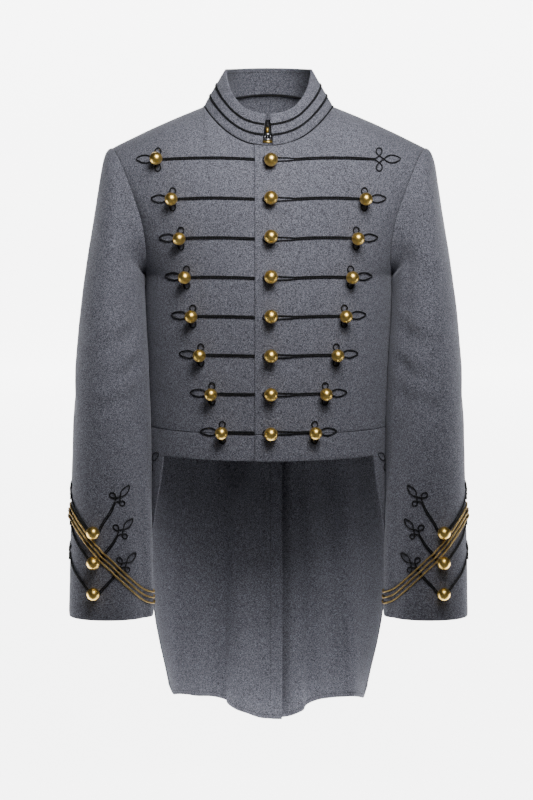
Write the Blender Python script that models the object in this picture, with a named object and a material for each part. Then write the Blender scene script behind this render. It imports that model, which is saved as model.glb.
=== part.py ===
"""Full dress tailcoat in grey wool, filled out and hollow as it hangs on a wearer's shoulders.

The front faces -Y, the wearer's left is +X and +Z is up. The origin lies midway between the shoulders, level
with the points where the collar meets the shoulder seams. Every cloth piece is a thin wall whose outer
face is
worked out from the section tables below. All sizes are in metres.
"""

import functools
import math

import bmesh
import bpy
from mathutils import Vector

# Walls and seams
CLOTH = 0.0025
COLLAR_CLOTH = 0.0035
SEAM = 0.0003
LAP = CLOTH + 2 * SEAM
STEP = 1e-3

# Looks: colour, roughness, metallic
WOOL = ((0.155, 0.157, 0.180), 0.95, 0.0)
BRAID = ((0.010, 0.010, 0.012), 0.70, 0.0)
BRASS = ((0.720, 0.430, 0.090), 0.22, 1.0)

# Neckline, shoulders and armholes
NECK_HALF = 0.0955
NECK_FRONT_Y = -0.077
NECK_BACK_Y = 0.078
NECK_FRONT_Z = -0.0545
NECK_SIDE_Z = 0.002
NECK_BACK_Z = 0.0195
SHOULDER_TIP = Vector((0.231, 0.012, -0.0585))
FRONT_NOTCH = Vector((0.187, -0.062, -0.157))
BACK_NOTCH = Vector((0.197, 0.084, -0.150))
UNDERARM = Vector((0.182, 0.012, -0.245))
ARMHOLE_MIDDLE_Z = -0.150
ARMHOLE_HOLLOW = 0.045
SHOULDER_CROWN = 0.002

# Levels of the body panels
CHEST_Z = -0.172
WAIST_Z = -0.471
STRAP_HEM_Z = -0.510
NECK_SHARE = 0.40
ROUNDED_SHARE = 0.70
CHEST_AT = 0.34
UNDERARM_AT = 0.50
PANEL_ROWS = (5, 4, 4)
NECK_COLUMNS = 5
SHOULDER_COLUMNS = 5
EDGE_SHARE = 0.1
NOTCH_TURN = math.radians(62)
SIDE_Y = UNDERARM.y
RING_POWER = 0.88

# Torso and tail rings: level, half width, front y, back y
TORSO = (
    (-0.172, 0.1840, -0.118, 0.120),
    (-0.245, 0.1820, -0.124, 0.122),
    (-0.300, 0.1820, -0.124, 0.117),
    (-0.360, 0.1815, -0.121, 0.109),
    (-0.420, 0.1810, -0.118, 0.105),
    (-0.471, 0.1810, -0.117, 0.106),
    (-0.510, 0.1815, -0.119, 0.109),
    (-0.600, 0.1820, -0.121, 0.114),
    (-0.700, 0.1795, -0.121, 0.118),
    (-0.757, 0.1745, -0.121, 0.120),
    (-0.810, 0.1670, -0.119, 0.121),
    (-0.860, 0.1570, -0.117, 0.122),
    (-0.900, 0.1500, -0.115, 0.123),
    (-0.960, 0.1460, -0.113, 0.124),
)

# Front edge of each tail: level, turn from centre front in degrees
TAIL_EDGE = (
    (-0.510, 59.0),
    (-0.557, 63.0),
    (-0.594, 68.0),
    (-0.636, 74.5),
    (-0.700, 82.0),
    (-0.757, 87.0),
    (-0.810, 92.0),
    (-0.860, 96.0),
    (-0.900, 99.0),
    (-0.960, 101.0),
)

# Tail hem: distance from the middle of the back, level
TAIL_HEM = (
    (0.000, -0.950),
    (0.020, -0.948),
    (0.042, -0.939),
    (0.066, -0.924),
    (0.090, -0.915),
    (0.125, -0.908),
    (0.150, -0.898),
)
TAIL_MIDDLE_X = 0.006

# Folds of the tails: x where one begins, x where it is full, depth at the hem (towards the front)
TAIL_FOLDS = (
    (-0.066, -0.038, 0.020),
    (0.052, 0.082, -0.020),
    (-0.128, -0.104, 0.007),
    (0.112, 0.136, -0.007),
)

# Sleeve rings: outer x, outer z, inner x, inner z, middle y, half depth
SLEEVE = (
    (0.2310, -0.0585, 0.1820, -0.2450, 0.010, 0.072),
    (0.2385, -0.0625, 0.1850, -0.2475, 0.010, 0.073),
    (0.2440, -0.0740, 0.1865, -0.2510, 0.010, 0.075),
    (0.2510, -0.1080, 0.1877, -0.2600, 0.010, 0.078),
    (0.2610, -0.1700, 0.1880, -0.2800, 0.005, 0.080),
    (0.2705, -0.2300, 0.1870, -0.3050, -0.001, 0.079),
    (0.2800, -0.3000, 0.1848, -0.3450, -0.010, 0.077),
    (0.2858, -0.3700, 0.1825, -0.3950, -0.018, 0.074),
    (0.2902, -0.4500, 0.1808, -0.4600, -0.025, 0.070),
    (0.2928, -0.5300, 0.1800, -0.5300, -0.029, 0.065),
    (0.2950, -0.6100, 0.1797, -0.6100, -0.032, 0.058),
    (0.2972, -0.6800, 0.1787, -0.6800, -0.034, 0.051),
    (0.2990, -0.7555, 0.1785, -0.7555, -0.036, 0.045),
)
SLEEVE_POWER = 0.94
CAP_RINGS = 3
FRONT_SLEEVE_SEAM = 180.0
BACK_SLEEVE_SEAM = 270.0
SEAM_TURN = 0.18

# Standing collar
COLLAR_TOP_HALF = 0.0635
COLLAR_TOP_FRONT_Y = -0.067
COLLAR_TOP_BACK_Y = 0.062
COLLAR_TOP_FRONT_Z = -0.0085
COLLAR_TOP_SIDE_Z = 0.0575
COLLAR_TOP_BACK_Z = 0.0600
COLLAR_MIDDLE_X = -0.0013
COLLAR_GAP_BASE = 0.0080
COLLAR_GAP_TOP = 0.0022

# Front closing, frogs and buttons
FRONT_EDGE_X = -0.020
UNDERLAP_X = 0.018
LAP_FADE_X = 0.050
VENT_UNDERLAP_X = 0.027
HEM_MIDDLE_Z = -0.92
STRAP_FIRST = 0.06
STRAP_SHARE = 0.30
STRAP_ROWS = 0.10
VENT_SHARE = 0.05
ROWS = 8
TOP_ROW_Z = -0.0745
ROW_PITCH = 0.0563
BUTTON_LINE_X = 0.0035
SIDE_BUTTON_X = (0.163, 0.141, 0.130, 0.122, 0.112, 0.100, 0.0845, 0.069)
CORD = 0.0020
CORD_LINE = 0.0040
BRAID_BASE = 0.0004
BRAID_TOP = 0.0018
LOOP_LENGTH = 0.032
LOOP_HALF = 0.0052
EAR_LENGTH = 0.0170
EAR_HALF = 0.0040
HUB = 0.0034
LINE_SEGMENT = 0.017
BUTTON_LOOP_REAR = 0.0085
BUTTON_LOOP_FRONT = 0.0280
BALL_CENTRE = 0.0099
BALL_SIDE = 0.0094
BALL_CUFF = 0.0097
SHANK = 0.0015
SHANK_RISE = 0.0032
BUTTON_LEAN = 0.45
BUTTON_TURN_IN = 0.30

# Cuff trim
CUFF_BUTTON_Z = (-0.6245, -0.6700, -0.7150)
CUFF_BUTTON_TURN = 70.0
CUFF_MM_PER_DEGREE = 0.001
CHEVRON_DIP = 0.0075
CHEVRON_ARMS = (
    (0.030, 0.0455, 0.058, 0.052),
    (0.034, 0.0435, 0.058, 0.055),
    (0.038, 0.0405, 0.058, 0.050),
)
CHEVRON_KNOT_TURN = math.radians(-14)
CUFF_BASE = 0.0006
CUFF_TOP = 0.0018
CUFF_LOOP_SCALE = 0.84
GOLD_CORD = 0.0030
GOLD_PITCH = 0.0100
GOLD_MIDDLE_Z = -0.6612
GOLD_SWEEP = 0.0665
GOLD_SAG = 0.0040
GOLD_TOP = 0.0026


def mix(a, b, t):
    return a + (b - a) * t


def ease(t):
    t = min(max(t, 0.0), 1.0)
    return t * t * (3 - 2 * t)


def signed_power(value, power):
    return math.copysign(abs(value) ** power, value)


def through(table, column, at):
    """A smooth curve through one column of a table whose first column is its station."""
    rows = table if table[0][0] < table[-1][0] else table[::-1]
    last = len(rows) - 1
    k = 0
    while k < last - 1 and at > rows[k + 1][0]:
        k += 1
    station = [rows[min(max(i, 0), last)][0] for i in range(k - 1, k + 3)]
    value = [rows[min(max(i, 0), last)][column] for i in range(k - 1, k + 3)]
    span = station[2] - station[1]
    t = min(max((at - station[1]) / span, 0.0), 1.0)
    rise = value[2] - value[1]
    slope_in = span * (value[2] - value[0]) / (station[2] - station[0]) if k > 0 else rise
    slope_out = span * (value[3] - value[1]) / (station[3] - station[1]) if k < last - 1 else rise
    return (
        (2 * t**3 - 3 * t**2 + 1) * value[1]
        + (t**3 - 2 * t**2 + t) * slope_in
        + (3 * t**2 - 2 * t**3) * value[2]
        + (t**3 - t**2) * slope_out
    )


def neckline(turn):
    """The neck seam. turn runs from 0 at centre front to pi at centre back, on the wearer's left."""
    forward = math.cos(turn)
    if forward >= 0:
        y = NECK_FRONT_Y * forward
        z = mix(NECK_FRONT_Z, NECK_SIDE_Z, abs(math.sin(turn)) ** 2.3)
    else:
        y = -NECK_BACK_Y * forward
        z = mix(NECK_SIDE_Z, NECK_BACK_Z, forward * forward)
    return Vector((NECK_HALF * math.sin(turn), y, z))


def armhole(turn):
    """The armhole seam on the wearer's left: 0 at the shoulder tip, 90 at the front, 180 at the underarm."""
    turn %= 360.0
    notch = FRONT_NOTCH if turn <= 180 else BACK_NOTCH
    down = turn if turn <= 180 else 360 - turn
    if down <= 90:
        t = down / 90
        weights = (t**1.4, 1 - (1 - t) ** 2, t * t)
        ends = (SHOULDER_TIP, notch)
    else:
        t = down / 90 - 1
        weights = (ease(t), t * t, 1 - (1 - t) ** 2)
        ends = (notch, UNDERARM)
    point = Vector(mix(ends[0][i], ends[1][i], weights[i]) for i in range(3))
    if down > 90:
        point.x -= ARMHOLE_HOLLOW * t * (1 - t) ** 2
    return point


def armhole_inward(turn):
    """The direction in which both walls at the armhole seam have their thickness."""
    point = armhole(turn)
    return Vector((0, SIDE_Y - point.y, ARMHOLE_MIDDLE_Z - point.z)).normalized()


def panel_top(back, u):
    """The upper edge of a body panel: half the neckline, then the shoulder seam."""
    if u <= NECK_SHARE:
        turn = u / NECK_SHARE * math.pi / 2
        return neckline(math.pi - turn if back else turn)
    s = (u - NECK_SHARE) / (1 - NECK_SHARE)
    point = neckline(math.pi / 2).lerp(SHOULDER_TIP, s)
    point.z += SHOULDER_CROWN * math.sin(math.pi * s)
    return point


def panel_row(middle_y, middle_z, edge, turn, u):
    """One cross section of a body panel, from its middle line at u = 0 to its edge at u = 1."""
    a = u * turn
    across = math.sin(a) / math.sin(turn)
    depth = (1 - abs(math.cos(a)) ** RING_POWER) / (1 - abs(math.cos(turn)) ** RING_POWER)
    return Vector((edge.x * across, mix(middle_y, edge.y, depth), mix(middle_z, edge.z, u * u)))


def panel_point(back, u, v):
    """A point of the wearer's left half of the front or the back: v runs from the neck to the waist seam."""
    depth_column = 3 if back else 2
    if v < UNDERARM_AT:
        lower = max(v - CHEST_AT, 0.0) / (UNDERARM_AT - CHEST_AT)
        edge_turn = 90 + 90 * lower
        edge = armhole(360 - edge_turn if back else edge_turn)
        middle_z = mix(CHEST_Z, UNDERARM.z, lower)
        turn = mix(NOTCH_TURN, math.pi / 2, lower)
    else:
        middle_z = mix(UNDERARM.z, WAIST_Z, (v - UNDERARM_AT) / (1 - UNDERARM_AT))
        edge = Vector((through(TORSO, 1, middle_z), SIDE_Y, middle_z))
        turn = math.pi / 2
    row = panel_row(through(TORSO, depth_column, middle_z), middle_z, edge, turn, u)
    if v >= CHEST_AT:
        return row
    t = v / CHEST_AT
    top = panel_top(back, abs(u))
    top.x = math.copysign(top.x, u)
    outward = ease(abs(u) / ROUNDED_SHARE)
    fall = t ** mix(1.35 if back else 1.10, 2.0, outward)
    swell = 1 - (1 - t) ** mix(1.5, 2.0, outward)
    return Vector((mix(top.x, row.x, t**1.4), mix(top.y, row.y, swell), mix(top.z, row.z, fall)))


def ring_point(turn, z):
    """A point of the plain torso ring at a level below the underarm: turn 0 at centre front, pi at
    centre back."""
    forward = math.cos(turn)
    reach = SIDE_Y - through(TORSO, 2, z) if forward >= 0 else through(TORSO, 3, z) - SIDE_Y
    return Vector((through(TORSO, 1, z) * math.sin(turn), SIDE_Y - reach * signed_power(forward,
                                                                                        RING_POWER), z))


def fold_depth(x, z):
    """How far the folds bring the back of the tails towards the front at a place."""
    fullness = ease((STRAP_HEM_Z - z) / 0.30) * mix(0.45, 1.0, ease((STRAP_HEM_Z - z) / 0.44))
    return fullness * sum(depth * ease((x - begin) / (full - begin)) for begin, full, depth in TAIL_FOLDS)


def sleeve_point(turn, s):
    """A point of the wearer's left sleeve: turn 0 outside, 90 in front, 180 inside; s from armhole to
    cuff."""
    rings = len(SLEEVE) - 1
    at = s * rings
    stations = tuple((i,) + ring for i, ring in enumerate(SLEEVE))
    outer_x, outer_z, inner_x, inner_z, middle_y, depth = (through(stations, c, at) for c in range(1, 7))
    a = math.radians(turn)
    across = signed_power(math.cos(a), SLEEVE_POWER)
    forward = signed_power(math.sin(a), SLEEVE_POWER)

    def oval(ox, oz, ix, iz, y, half):
        return Vector((mix(ix, ox, (1 + across) / 2), y - half * forward, mix(iz, oz, (1 + across) / 2)))

    point = oval(outer_x, outer_z, inner_x, inner_z, middle_y, depth)
    if at < CAP_RINGS:
        point += (armhole(turn) - oval(*SLEEVE[0])) * (1 - at / CAP_RINGS) ** 2
    point.x += SEAM
    return point


def collar_point(turn, t):
    """A point of the collar: turn 0 at centre front, pi at centre back; t from the neck seam to the top
    edge."""
    base = neckline(turn)
    base.z += SEAM * 2
    forward = math.cos(turn)
    sideways = math.sin(turn) ** 2
    if forward >= 0:
        y = COLLAR_TOP_FRONT_Y * forward
        z = mix(COLLAR_TOP_FRONT_Z, COLLAR_TOP_SIDE_Z, sideways)
    else:
        y = -COLLAR_TOP_BACK_Y * forward
        z = mix(COLLAR_TOP_BACK_Z, COLLAR_TOP_SIDE_Z, sideways)
    return base.lerp(Vector((COLLAR_TOP_HALF * math.sin(turn), y, z)), t)


def collar_end_turn(side, t):
    """The turn at which the collar ends beside the hook, for the side's sign."""
    half = mix(NECK_HALF, COLLAR_TOP_HALF, t)
    gap = mix(COLLAR_GAP_BASE, COLLAR_GAP_TOP, t)
    return math.asin((gap + side * COLLAR_MIDDLE_X) / half)


def mirrored(point, side):
    return Vector((side * point.x, point.y, point.z))


def lap_rise(x):
    """How far the upper front stands out over the under front."""
    return LAP * (1 - ease((x - UNDERLAP_X - 0.004) / (LAP_FADE_X - UNDERLAP_X)))


def normal_of(surface, a, b):
    """The unit normal of a surface of two numbers, each from 0 to 1."""
    a0, a1 = max(a - STEP, 0.0), min(a + STEP, 1.0)
    b0, b1 = max(b - STEP, 0.0), min(b + STEP, 1.0)
    return (surface(a1, b) - surface(a0, b)).cross(surface(a, b1) - surface(a, b0)).normalized()


def raised(surface, facing, rise):
    """A surface moved out along its normals by rise(point)."""

    def moved(a, b):
        point = surface(a, b)
        return point + normal_of(surface, a, b) * facing * rise(point)

    return moved


def finish(name, colour, roughness, metallic):
    """A plain material with the piece's colour, roughness and metallic value."""
    material = bpy.data.materials.new(name)
    material.use_nodes = True
    shader = material.node_tree.nodes["Principled BSDF"]
    shader.inputs["Base Color"].default_value = (*colour, 1.0)
    shader.inputs["Roughness"].default_value = roughness
    shader.inputs["Metallic"].default_value = metallic
    return material


def new_object(name, mesh_maker, look):
    """Links an object whose mesh is filled by mesh_maker, with its faces turned outwards and its own
    material."""
    work = bmesh.new()
    mesh_maker(work)
    bmesh.ops.recalc_face_normals(work, faces=work.faces)
    if work.calc_volume(signed=True) < 0:
        bmesh.ops.reverse_faces(work, faces=work.faces)
    mesh = bpy.data.meshes.new(name)
    work.to_mesh(mesh)
    work.free()
    mesh.materials.append(finish(name, *look))
    mesh.shade_smooth()
    mesh.set_sharp_from_angle(angle=math.radians(50))
    thing = bpy.data.objects.new(name, mesh)
    bpy.context.scene.collection.objects.link(thing)
    return thing


def wall(name, surface, facing, columns, rows, look, thickness=CLOTH, keep=None, inward=None):
    """A cloth piece: the outer face is surface(a, b), and the wall has its thickness on the inside.

    facing is 1 or -1 and turns the surface's normal outwards. keep(i, j) says which cells of the grid exist.
    inward(a, b) gives the direction of the thickness where a seam needs its own, and otherwise None.
    """

    def fill(work):
        outer, inner = {}, {}
        cells = [
            (i, j)
            for i in range(len(columns) - 1)
            for j in range(len(rows) - 1)
            if keep is None or keep(i, j)
        ]
        corners = ((0, 0), (1, 0), (1, 1), (0, 1))
        for i, j in sorted({(i + p, j + q) for i, j in cells for p, q in corners}):
            a, b = columns[i], rows[j]
            point = surface(a, b)
            direction = (inward(a, b) if inward else None) or -facing * normal_of(surface, a, b)
            outer[i, j] = work.verts.new(point)
            inner[i, j] = work.verts.new(point + direction * thickness)
        edges = {}
        for i, j in cells:
            ring = [(i + p, j + q) for p, q in corners]
            work.faces.new([outer[c] for c in ring])
            work.faces.new([inner[c] for c in reversed(ring)])
            for start, end in zip(ring, ring[1:] + ring[:1]):
                edges[start, end] = edges.get((start, end), 0) + 1
        for start, end in edges:
            if (end, start) not in edges:
                work.faces.new((outer[end], outer[start], inner[start], inner[end]))

    return new_object(name, fill, look)


def spread(count):
    return [k / count for k in range(count + 1)]


@functools.cache
def edge_u(x, v):
    """The u at which a front panel's row passes a small x near the middle."""
    u = x / 0.2
    for _ in range(8):
        u += (x - panel_point(False, u, v).x) / 0.22
    return u


def panel_columns():
    """The u of a body panel's columns beyond the middle one, which meet the collar's columns at the neck."""
    neck = [NECK_SHARE * (k + 1) / NECK_COLUMNS for k in range(NECK_COLUMNS)]
    return neck + [mix(NECK_SHARE, 1.0, (k + 1) / SHOULDER_COLUMNS) for k in range(SHOULDER_COLUMNS)]


def collar_end_u(side):
    return collar_end_turn(side, 0.0) / (math.pi / 2) * NECK_SHARE


def front_u(side, a, b):
    """The u of a place on a front. Its first two strips, a below EDGE_SHARE, lie between the collar's
    ends."""
    start_x = FRONT_EDGE_X if side > 0 else -UNDERLAP_X
    end_u = collar_end_u(side)
    far_u = -collar_end_u(-side)
    if a < EDGE_SHARE / 2:
        return mix(edge_u(start_x, b), far_u, a / (EDGE_SHARE / 2))
    if a < EDGE_SHARE:
        return mix(far_u, end_u, a / (EDGE_SHARE / 2) - 1)
    return mix(end_u, 1.0, (a - EDGE_SHARE) / (1 - EDGE_SHARE))


def front_surface(side):
    """The outer face of one front as a surface of two numbers. Side 1 is the wearer's left, which laps
    over."""

    def surface(a, b):
        point = mirrored(panel_point(False, front_u(side, a, b), b), side)
        point.y -= SEAM / 2
        return point

    def lapped(a, b):
        point = surface(a, b)
        point.y -= lap_rise(point.x) / abs(normal_of(surface, a, b).y)
        return point

    return lapped if side > 0 else surface


def panel_inward(surface, back, side_of, u_of):
    """The direction of a body panel's thickness at its seams, where it matches the neighbouring piece."""

    def direction(a, b):
        side, u = side_of(a), u_of(a, b)
        if u >= 1 and b < UNDERARM_AT:
            down = 90 * b / CHEST_AT if b < CHEST_AT else 90 + 90 * (b - CHEST_AT) / (UNDERARM_AT - CHEST_AT)
            return mirrored(armhole_inward(360 - down if back else down), side)
        if b <= 0 and u > NECK_SHARE:
            along = SHOULDER_TIP - neckline(math.pi / 2)
            return mirrored(Vector((along.z, 0, -along.x)).normalized(), side)
        if b >= 1:
            return level_inward(surface, a, b, 1 if back else -side)
        return None

    return direction


def level_inward(surface, a, b, facing):
    inward = -facing * normal_of(surface, a, b)
    return Vector((inward.x, inward.y, 0)).normalized()


def panel_levels():
    """Rows of a body panel, with the chest and underarm rows among them."""
    upper, middle, lower = PANEL_ROWS
    levels = [CHEST_AT * k / upper for k in range(upper)]
    levels += [mix(CHEST_AT, UNDERARM_AT, k / middle) for k in range(middle)]
    return levels + [mix(UNDERARM_AT, 1.0, k / lower) for k in range(lower + 1)]


def make_fronts():
    for side, name in ((-1, "front_right"), (1, "front_left")):
        surface = front_surface(side)
        end_u = collar_end_u(side)
        columns = [0.0, EDGE_SHARE / 2, EDGE_SHARE]
        beyond = panel_columns()
        if side > 0:
            beyond.insert(0, math.asin(UNDERLAP_X / NECK_HALF) / (math.pi / 2) * NECK_SHARE)
        columns += [mix(EDGE_SHARE, 1.0, (u - end_u) / (1 - end_u)) for u in beyond]

        def side_of(a, side=side):
            return side

        def u_of(a, b, side=side):
            return front_u(side, a, b)

        inward = panel_inward(surface, False, side_of, u_of)
        wall(name, surface, -side, columns, panel_levels(), WOOL, inward=inward)


def back_surface(a, b):
    u = 2 * a - 1
    point = panel_point(True, abs(u), b)
    point.x = math.copysign(point.x, u)
    point.y += SEAM / 2
    return point


def make_back():
    inward = panel_inward(back_surface, True, lambda a: 1 if a > 0.5 else -1, lambda a, b: abs(2 * a - 1))
    half = [0.5 + u / 2 for u in panel_columns()]
    columns = [1 - a for a in reversed(half)] + [0.5] + half
    wall("back", back_surface, 1, columns, panel_levels(), WOOL, inward=inward)


def skirt_turn(side, a, z):
    """The turn of a strap and tail's column a at a level.

    a below STRAP_FIRST lies on the front lap, and a below STRAP_SHARE on the rest of the strap in front
    of the
    tail. The last part, beyond 1 - VENT_SHARE, lies where the two tails lap over each other at the back.
    """
    half = through(TORSO, 1, z)
    laps = (-UNDERLAP_X, -FRONT_EDGE_X) if side < 0 else (FRONT_EDGE_X, UNDERLAP_X)
    vent = math.asin(VENT_UNDERLAP_X / half)
    starts = [math.asin(x / half) for x in laps]
    edge = math.radians(through(TAIL_EDGE, 1, z))
    lapped, end = (math.pi, math.pi + vent) if side < 0 else (math.pi - vent, math.pi)
    stations = (0.0, STRAP_FIRST, STRAP_SHARE, 1 - VENT_SHARE, 1.0)
    turns = (*starts, edge, lapped, end)
    k = max(i for i in range(4) if a >= stations[i])
    return mix(turns[k], turns[k + 1], (a - stations[k]) / (stations[k + 1] - stations[k]))


def skirt_surface(side):
    """The outer face of one strap and tail, in one piece. b below STRAP_ROWS lies on the strap."""

    def surface(a, b):
        if b <= STRAP_ROWS:
            z = mix(WAIST_Z, STRAP_HEM_Z, b / STRAP_ROWS)
        else:
            hem_x = side * ring_point(skirt_turn(side, a, HEM_MIDDLE_Z), HEM_MIDDLE_Z).x
            hem_z = through(TAIL_HEM, 1, abs(hem_x - TAIL_MIDDLE_X))
            z = mix(STRAP_HEM_Z, hem_z, (b - STRAP_ROWS) / (1 - STRAP_ROWS))
        turn = skirt_turn(side, a, z)
        point = mirrored(ring_point(turn, z), side)
        if turn > math.pi / 2:
            point.y -= fold_depth(point.x, z) * ease((turn - math.pi / 2) / 0.5)
        point.z -= SEAM
        return point

    def rise(point):
        if point.y < 0:
            return lap_rise(point.x)
        return LAP * (1 - ease((point.x - VENT_UNDERLAP_X - 0.004) / 0.03))

    return raised(surface, -1, rise) if side > 0 else surface


def make_skirts():
    """The waist straps with the tails: only the strap's rows exist in front of each tail."""
    strap_columns, tail_columns, strap_rows, tail_rows = 6, 16, 2, 11
    columns = [0.0] + [mix(STRAP_FIRST, STRAP_SHARE, k / (strap_columns - 1))
                       for k in range(strap_columns - 1)]
    columns += [mix(STRAP_SHARE, 1 - VENT_SHARE, k / tail_columns) for k in range(tail_columns + 1)] + [1.0]
    rows = [STRAP_ROWS * k / strap_rows for k in range(strap_rows)]
    rows += [mix(STRAP_ROWS, 1.0, k / tail_rows) for k in range(tail_rows + 1)]

    def keep(i, j):
        return i >= strap_columns or j < strap_rows

    for side, name in ((-1, "tail_right"), (1, "tail_left")):
        surface = skirt_surface(side)

        def inward(a, b, surface=surface, side=side):
            return level_inward(surface, a, b, -side) if b <= 0 else None

        wall(name, surface, -side, columns, rows, WOOL, keep=keep, inward=inward)


def sleeve_turns(first, last):
    """The turns of a sleeve's columns, which meet the rows of the front and of the back at the armhole."""
    upper, lower = 90.0 / PANEL_ROWS[0], 90.0 / PANEL_ROWS[1]
    turns = [-90 + upper * k for k in range(2 * PANEL_ROWS[0])]
    turns += [90 + lower * k for k in range(2 * PANEL_ROWS[1] + 1)]
    return [turn for turn in turns if first <= turn <= last]


def make_sleeves():
    """Two-piece sleeves: a wide top sleeve and a narrow under sleeve against the body."""
    pieces = (
        ("top_sleeve", BACK_SLEEVE_SEAM - 360.0, FRONT_SLEEVE_SEAM),
        ("under_sleeve", FRONT_SLEEVE_SEAM, BACK_SLEEVE_SEAM),
    )
    rings = [k / (len(SLEEVE) - 1) for k in range(len(SLEEVE))]
    for side, word in ((-1, "right"), (1, "left")):
        for part, start, end in pieces:
            turns = sleeve_turns(start, end)
            turns[0] += SEAM_TURN
            turns[-1] -= SEAM_TURN

            def surface(a, b, side=side):
                return mirrored(sleeve_point(360.0 * a - 90.0, b), side)

            def inward(a, b, side=side):
                return mirrored(armhole_inward(360.0 * a - 90.0), side) if b <= 0 else None

            columns = [(turn + 90.0) / 360.0 for turn in turns]
            wall(f"{part}_{word}", surface, side, columns, rings, WOOL, inward=inward)


def collar_turn(a, t, back_off=0.0):
    """The turn at a share of the collar's length: its columns lie at even turns except at the two ends."""
    first = 2 * math.pi / (4 * NECK_COLUMNS)
    share = first / (2 * math.pi)
    if a < share:
        return mix(collar_end_turn(1, t) + back_off, first, a / share)
    if a > 1 - share:
        return mix(2 * math.pi - collar_end_turn(-1, t) - back_off, 2 * math.pi - first, (1 - a) / share)
    return 2 * math.pi * a


def make_collar():
    def surface(a, b):
        return collar_point(collar_turn(a, b), b)

    def inward(a, b):
        point = surface(a, b)
        return Vector((-point.x, -point.y, 0)).normalized() if b <= 0 else None

    wall("collar", surface, 1, spread(4 * NECK_COLUMNS), spread(3), WOOL, thickness=COLLAR_CLOTH,
         inward=inward)


def make_collar_braid():
    """Two black bands laid round the collar, ending at the hook."""
    half = 0.0018
    for name, level, drop in (("collar_braid_lower", 0.33, 0.04), ("collar_braid_upper", 0.66, 0.09)):

        def surface(a, b, level=level, drop=drop):
            t = level - drop * math.sin(2 * math.pi * a) ** 2 + (b - 0.5) * 2 * half / 0.050
            return collar_point(collar_turn(a, t, 0.02), t)

        outer = raised(surface, 1, lambda point: BRAID_TOP)
        wall(name, outer, 1, spread(4 * NECK_COLUMNS), (0.0, 1.0), BRAID, thickness=BRAID_TOP - BRAID_BASE)


def front_place(side):
    """Places a point of the front view, x and z, on the outer face of one front, moved out by a height."""

    def place(x, z, height):
        u, v = side * x / 0.19, z / WAIST_Z
        for _ in range(7):
            here = panel_point(False, u, v)
            across = (panel_point(False, u + STEP, v) - here) / STEP
            down = (panel_point(False, u, v + STEP) - here) / STEP
            dx, dz = side * x - here.x, z - here.z
            area = across.x * down.z - across.z * down.x
            u = min(max(u + (dx * down.z - dz * down.x) / area, -0.3), 0.999)
            v = min(max(v + (dz * across.x - dx * across.z) / area, 0.001), 0.999)
        out = down.cross(across).normalized()
        rise = lap_rise(x) / abs(out.y) if side > 0 else 0.0
        return mirrored(here + out * height, side) - Vector((0, SEAM / 2 + rise, 0))

    return place


def below_waist_place(side):
    """As front_place, for the strap below the waist seam."""

    def place(x, z, height):
        half = through(TORSO, 1, z)
        turn = math.asin(min(abs(x) / half, 1.0)) * math.copysign(1, x)
        point = ring_point(turn, z)
        out = Vector((math.sin(turn) / half, -math.cos(turn) / (SIDE_Y - through(TORSO, 2, z)),
                      0)).normalized()
        return point + out * (height + (lap_rise(x) if side > 0 else 0.0))

    return place


def coat_front_place(side):
    """Places a point of the front view on the front above the waist seam, or on the strap below it."""
    upper, lower = front_place(side), below_waist_place(side)

    def place(x, z, height):
        return upper(x, z, height) if z > WAIST_Z + 0.002 else lower(x, z, height)

    return place


def loop_line(length, half, start, count, point_power):
    """The middle line of one cord loop, out along x and back, from a hub of radius start."""
    line = []
    for k in range(1, count):
        m = 1 - 2 * k / count
        reach = start + (length - start) * (1 - abs(m) ** point_power)
        line.append(Vector((reach, half * math.sin(math.pi * m) + 0.0016 * m)))
    return line


def pair(work, place, point, base, top):
    return work.verts.new(place(point.x, point.y, base)), work.verts.new(place(point.x, point.y, top))


def strip(work, place, line, width, base, top, start, end=None):
    """A flat ribbon along a line of plane points, from a pair of edge posts to another, or to a free end.

    A post is a (bottom, top) pair of vertices, and start and end are each a (left, right) pair of posts.
    """
    left, right = start
    for k, point in enumerate(line):
        before = line[k - 1] if k else point - (line[min(k + 1, len(line) - 1)] - point)
        after = line[k + 1] if k + 1 < len(line) else point + (point - before)
        along = (after - before).normalized()
        side = Vector((-along.y, along.x)) * width / 2
        next_left = pair(work, place, point + side, base, top)
        next_right = pair(work, place, point - side, base, top)
        strip_faces(work, left, right, next_left, next_right)
        left, right = next_left, next_right
    if end:
        strip_faces(work, left, right, *end)
    else:
        work.faces.new((left[0], left[1], right[1], right[0]))


def strip_faces(work, left, right, next_left, next_right):
    work.faces.new((left[1], right[1], next_right[1], next_left[1]))
    work.faces.new((left[0], next_left[0], next_right[0], right[0]))
    work.faces.new((left[0], left[1], next_left[1], next_left[0]))
    work.faces.new((right[0], next_right[0], next_right[1], right[1]))


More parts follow.
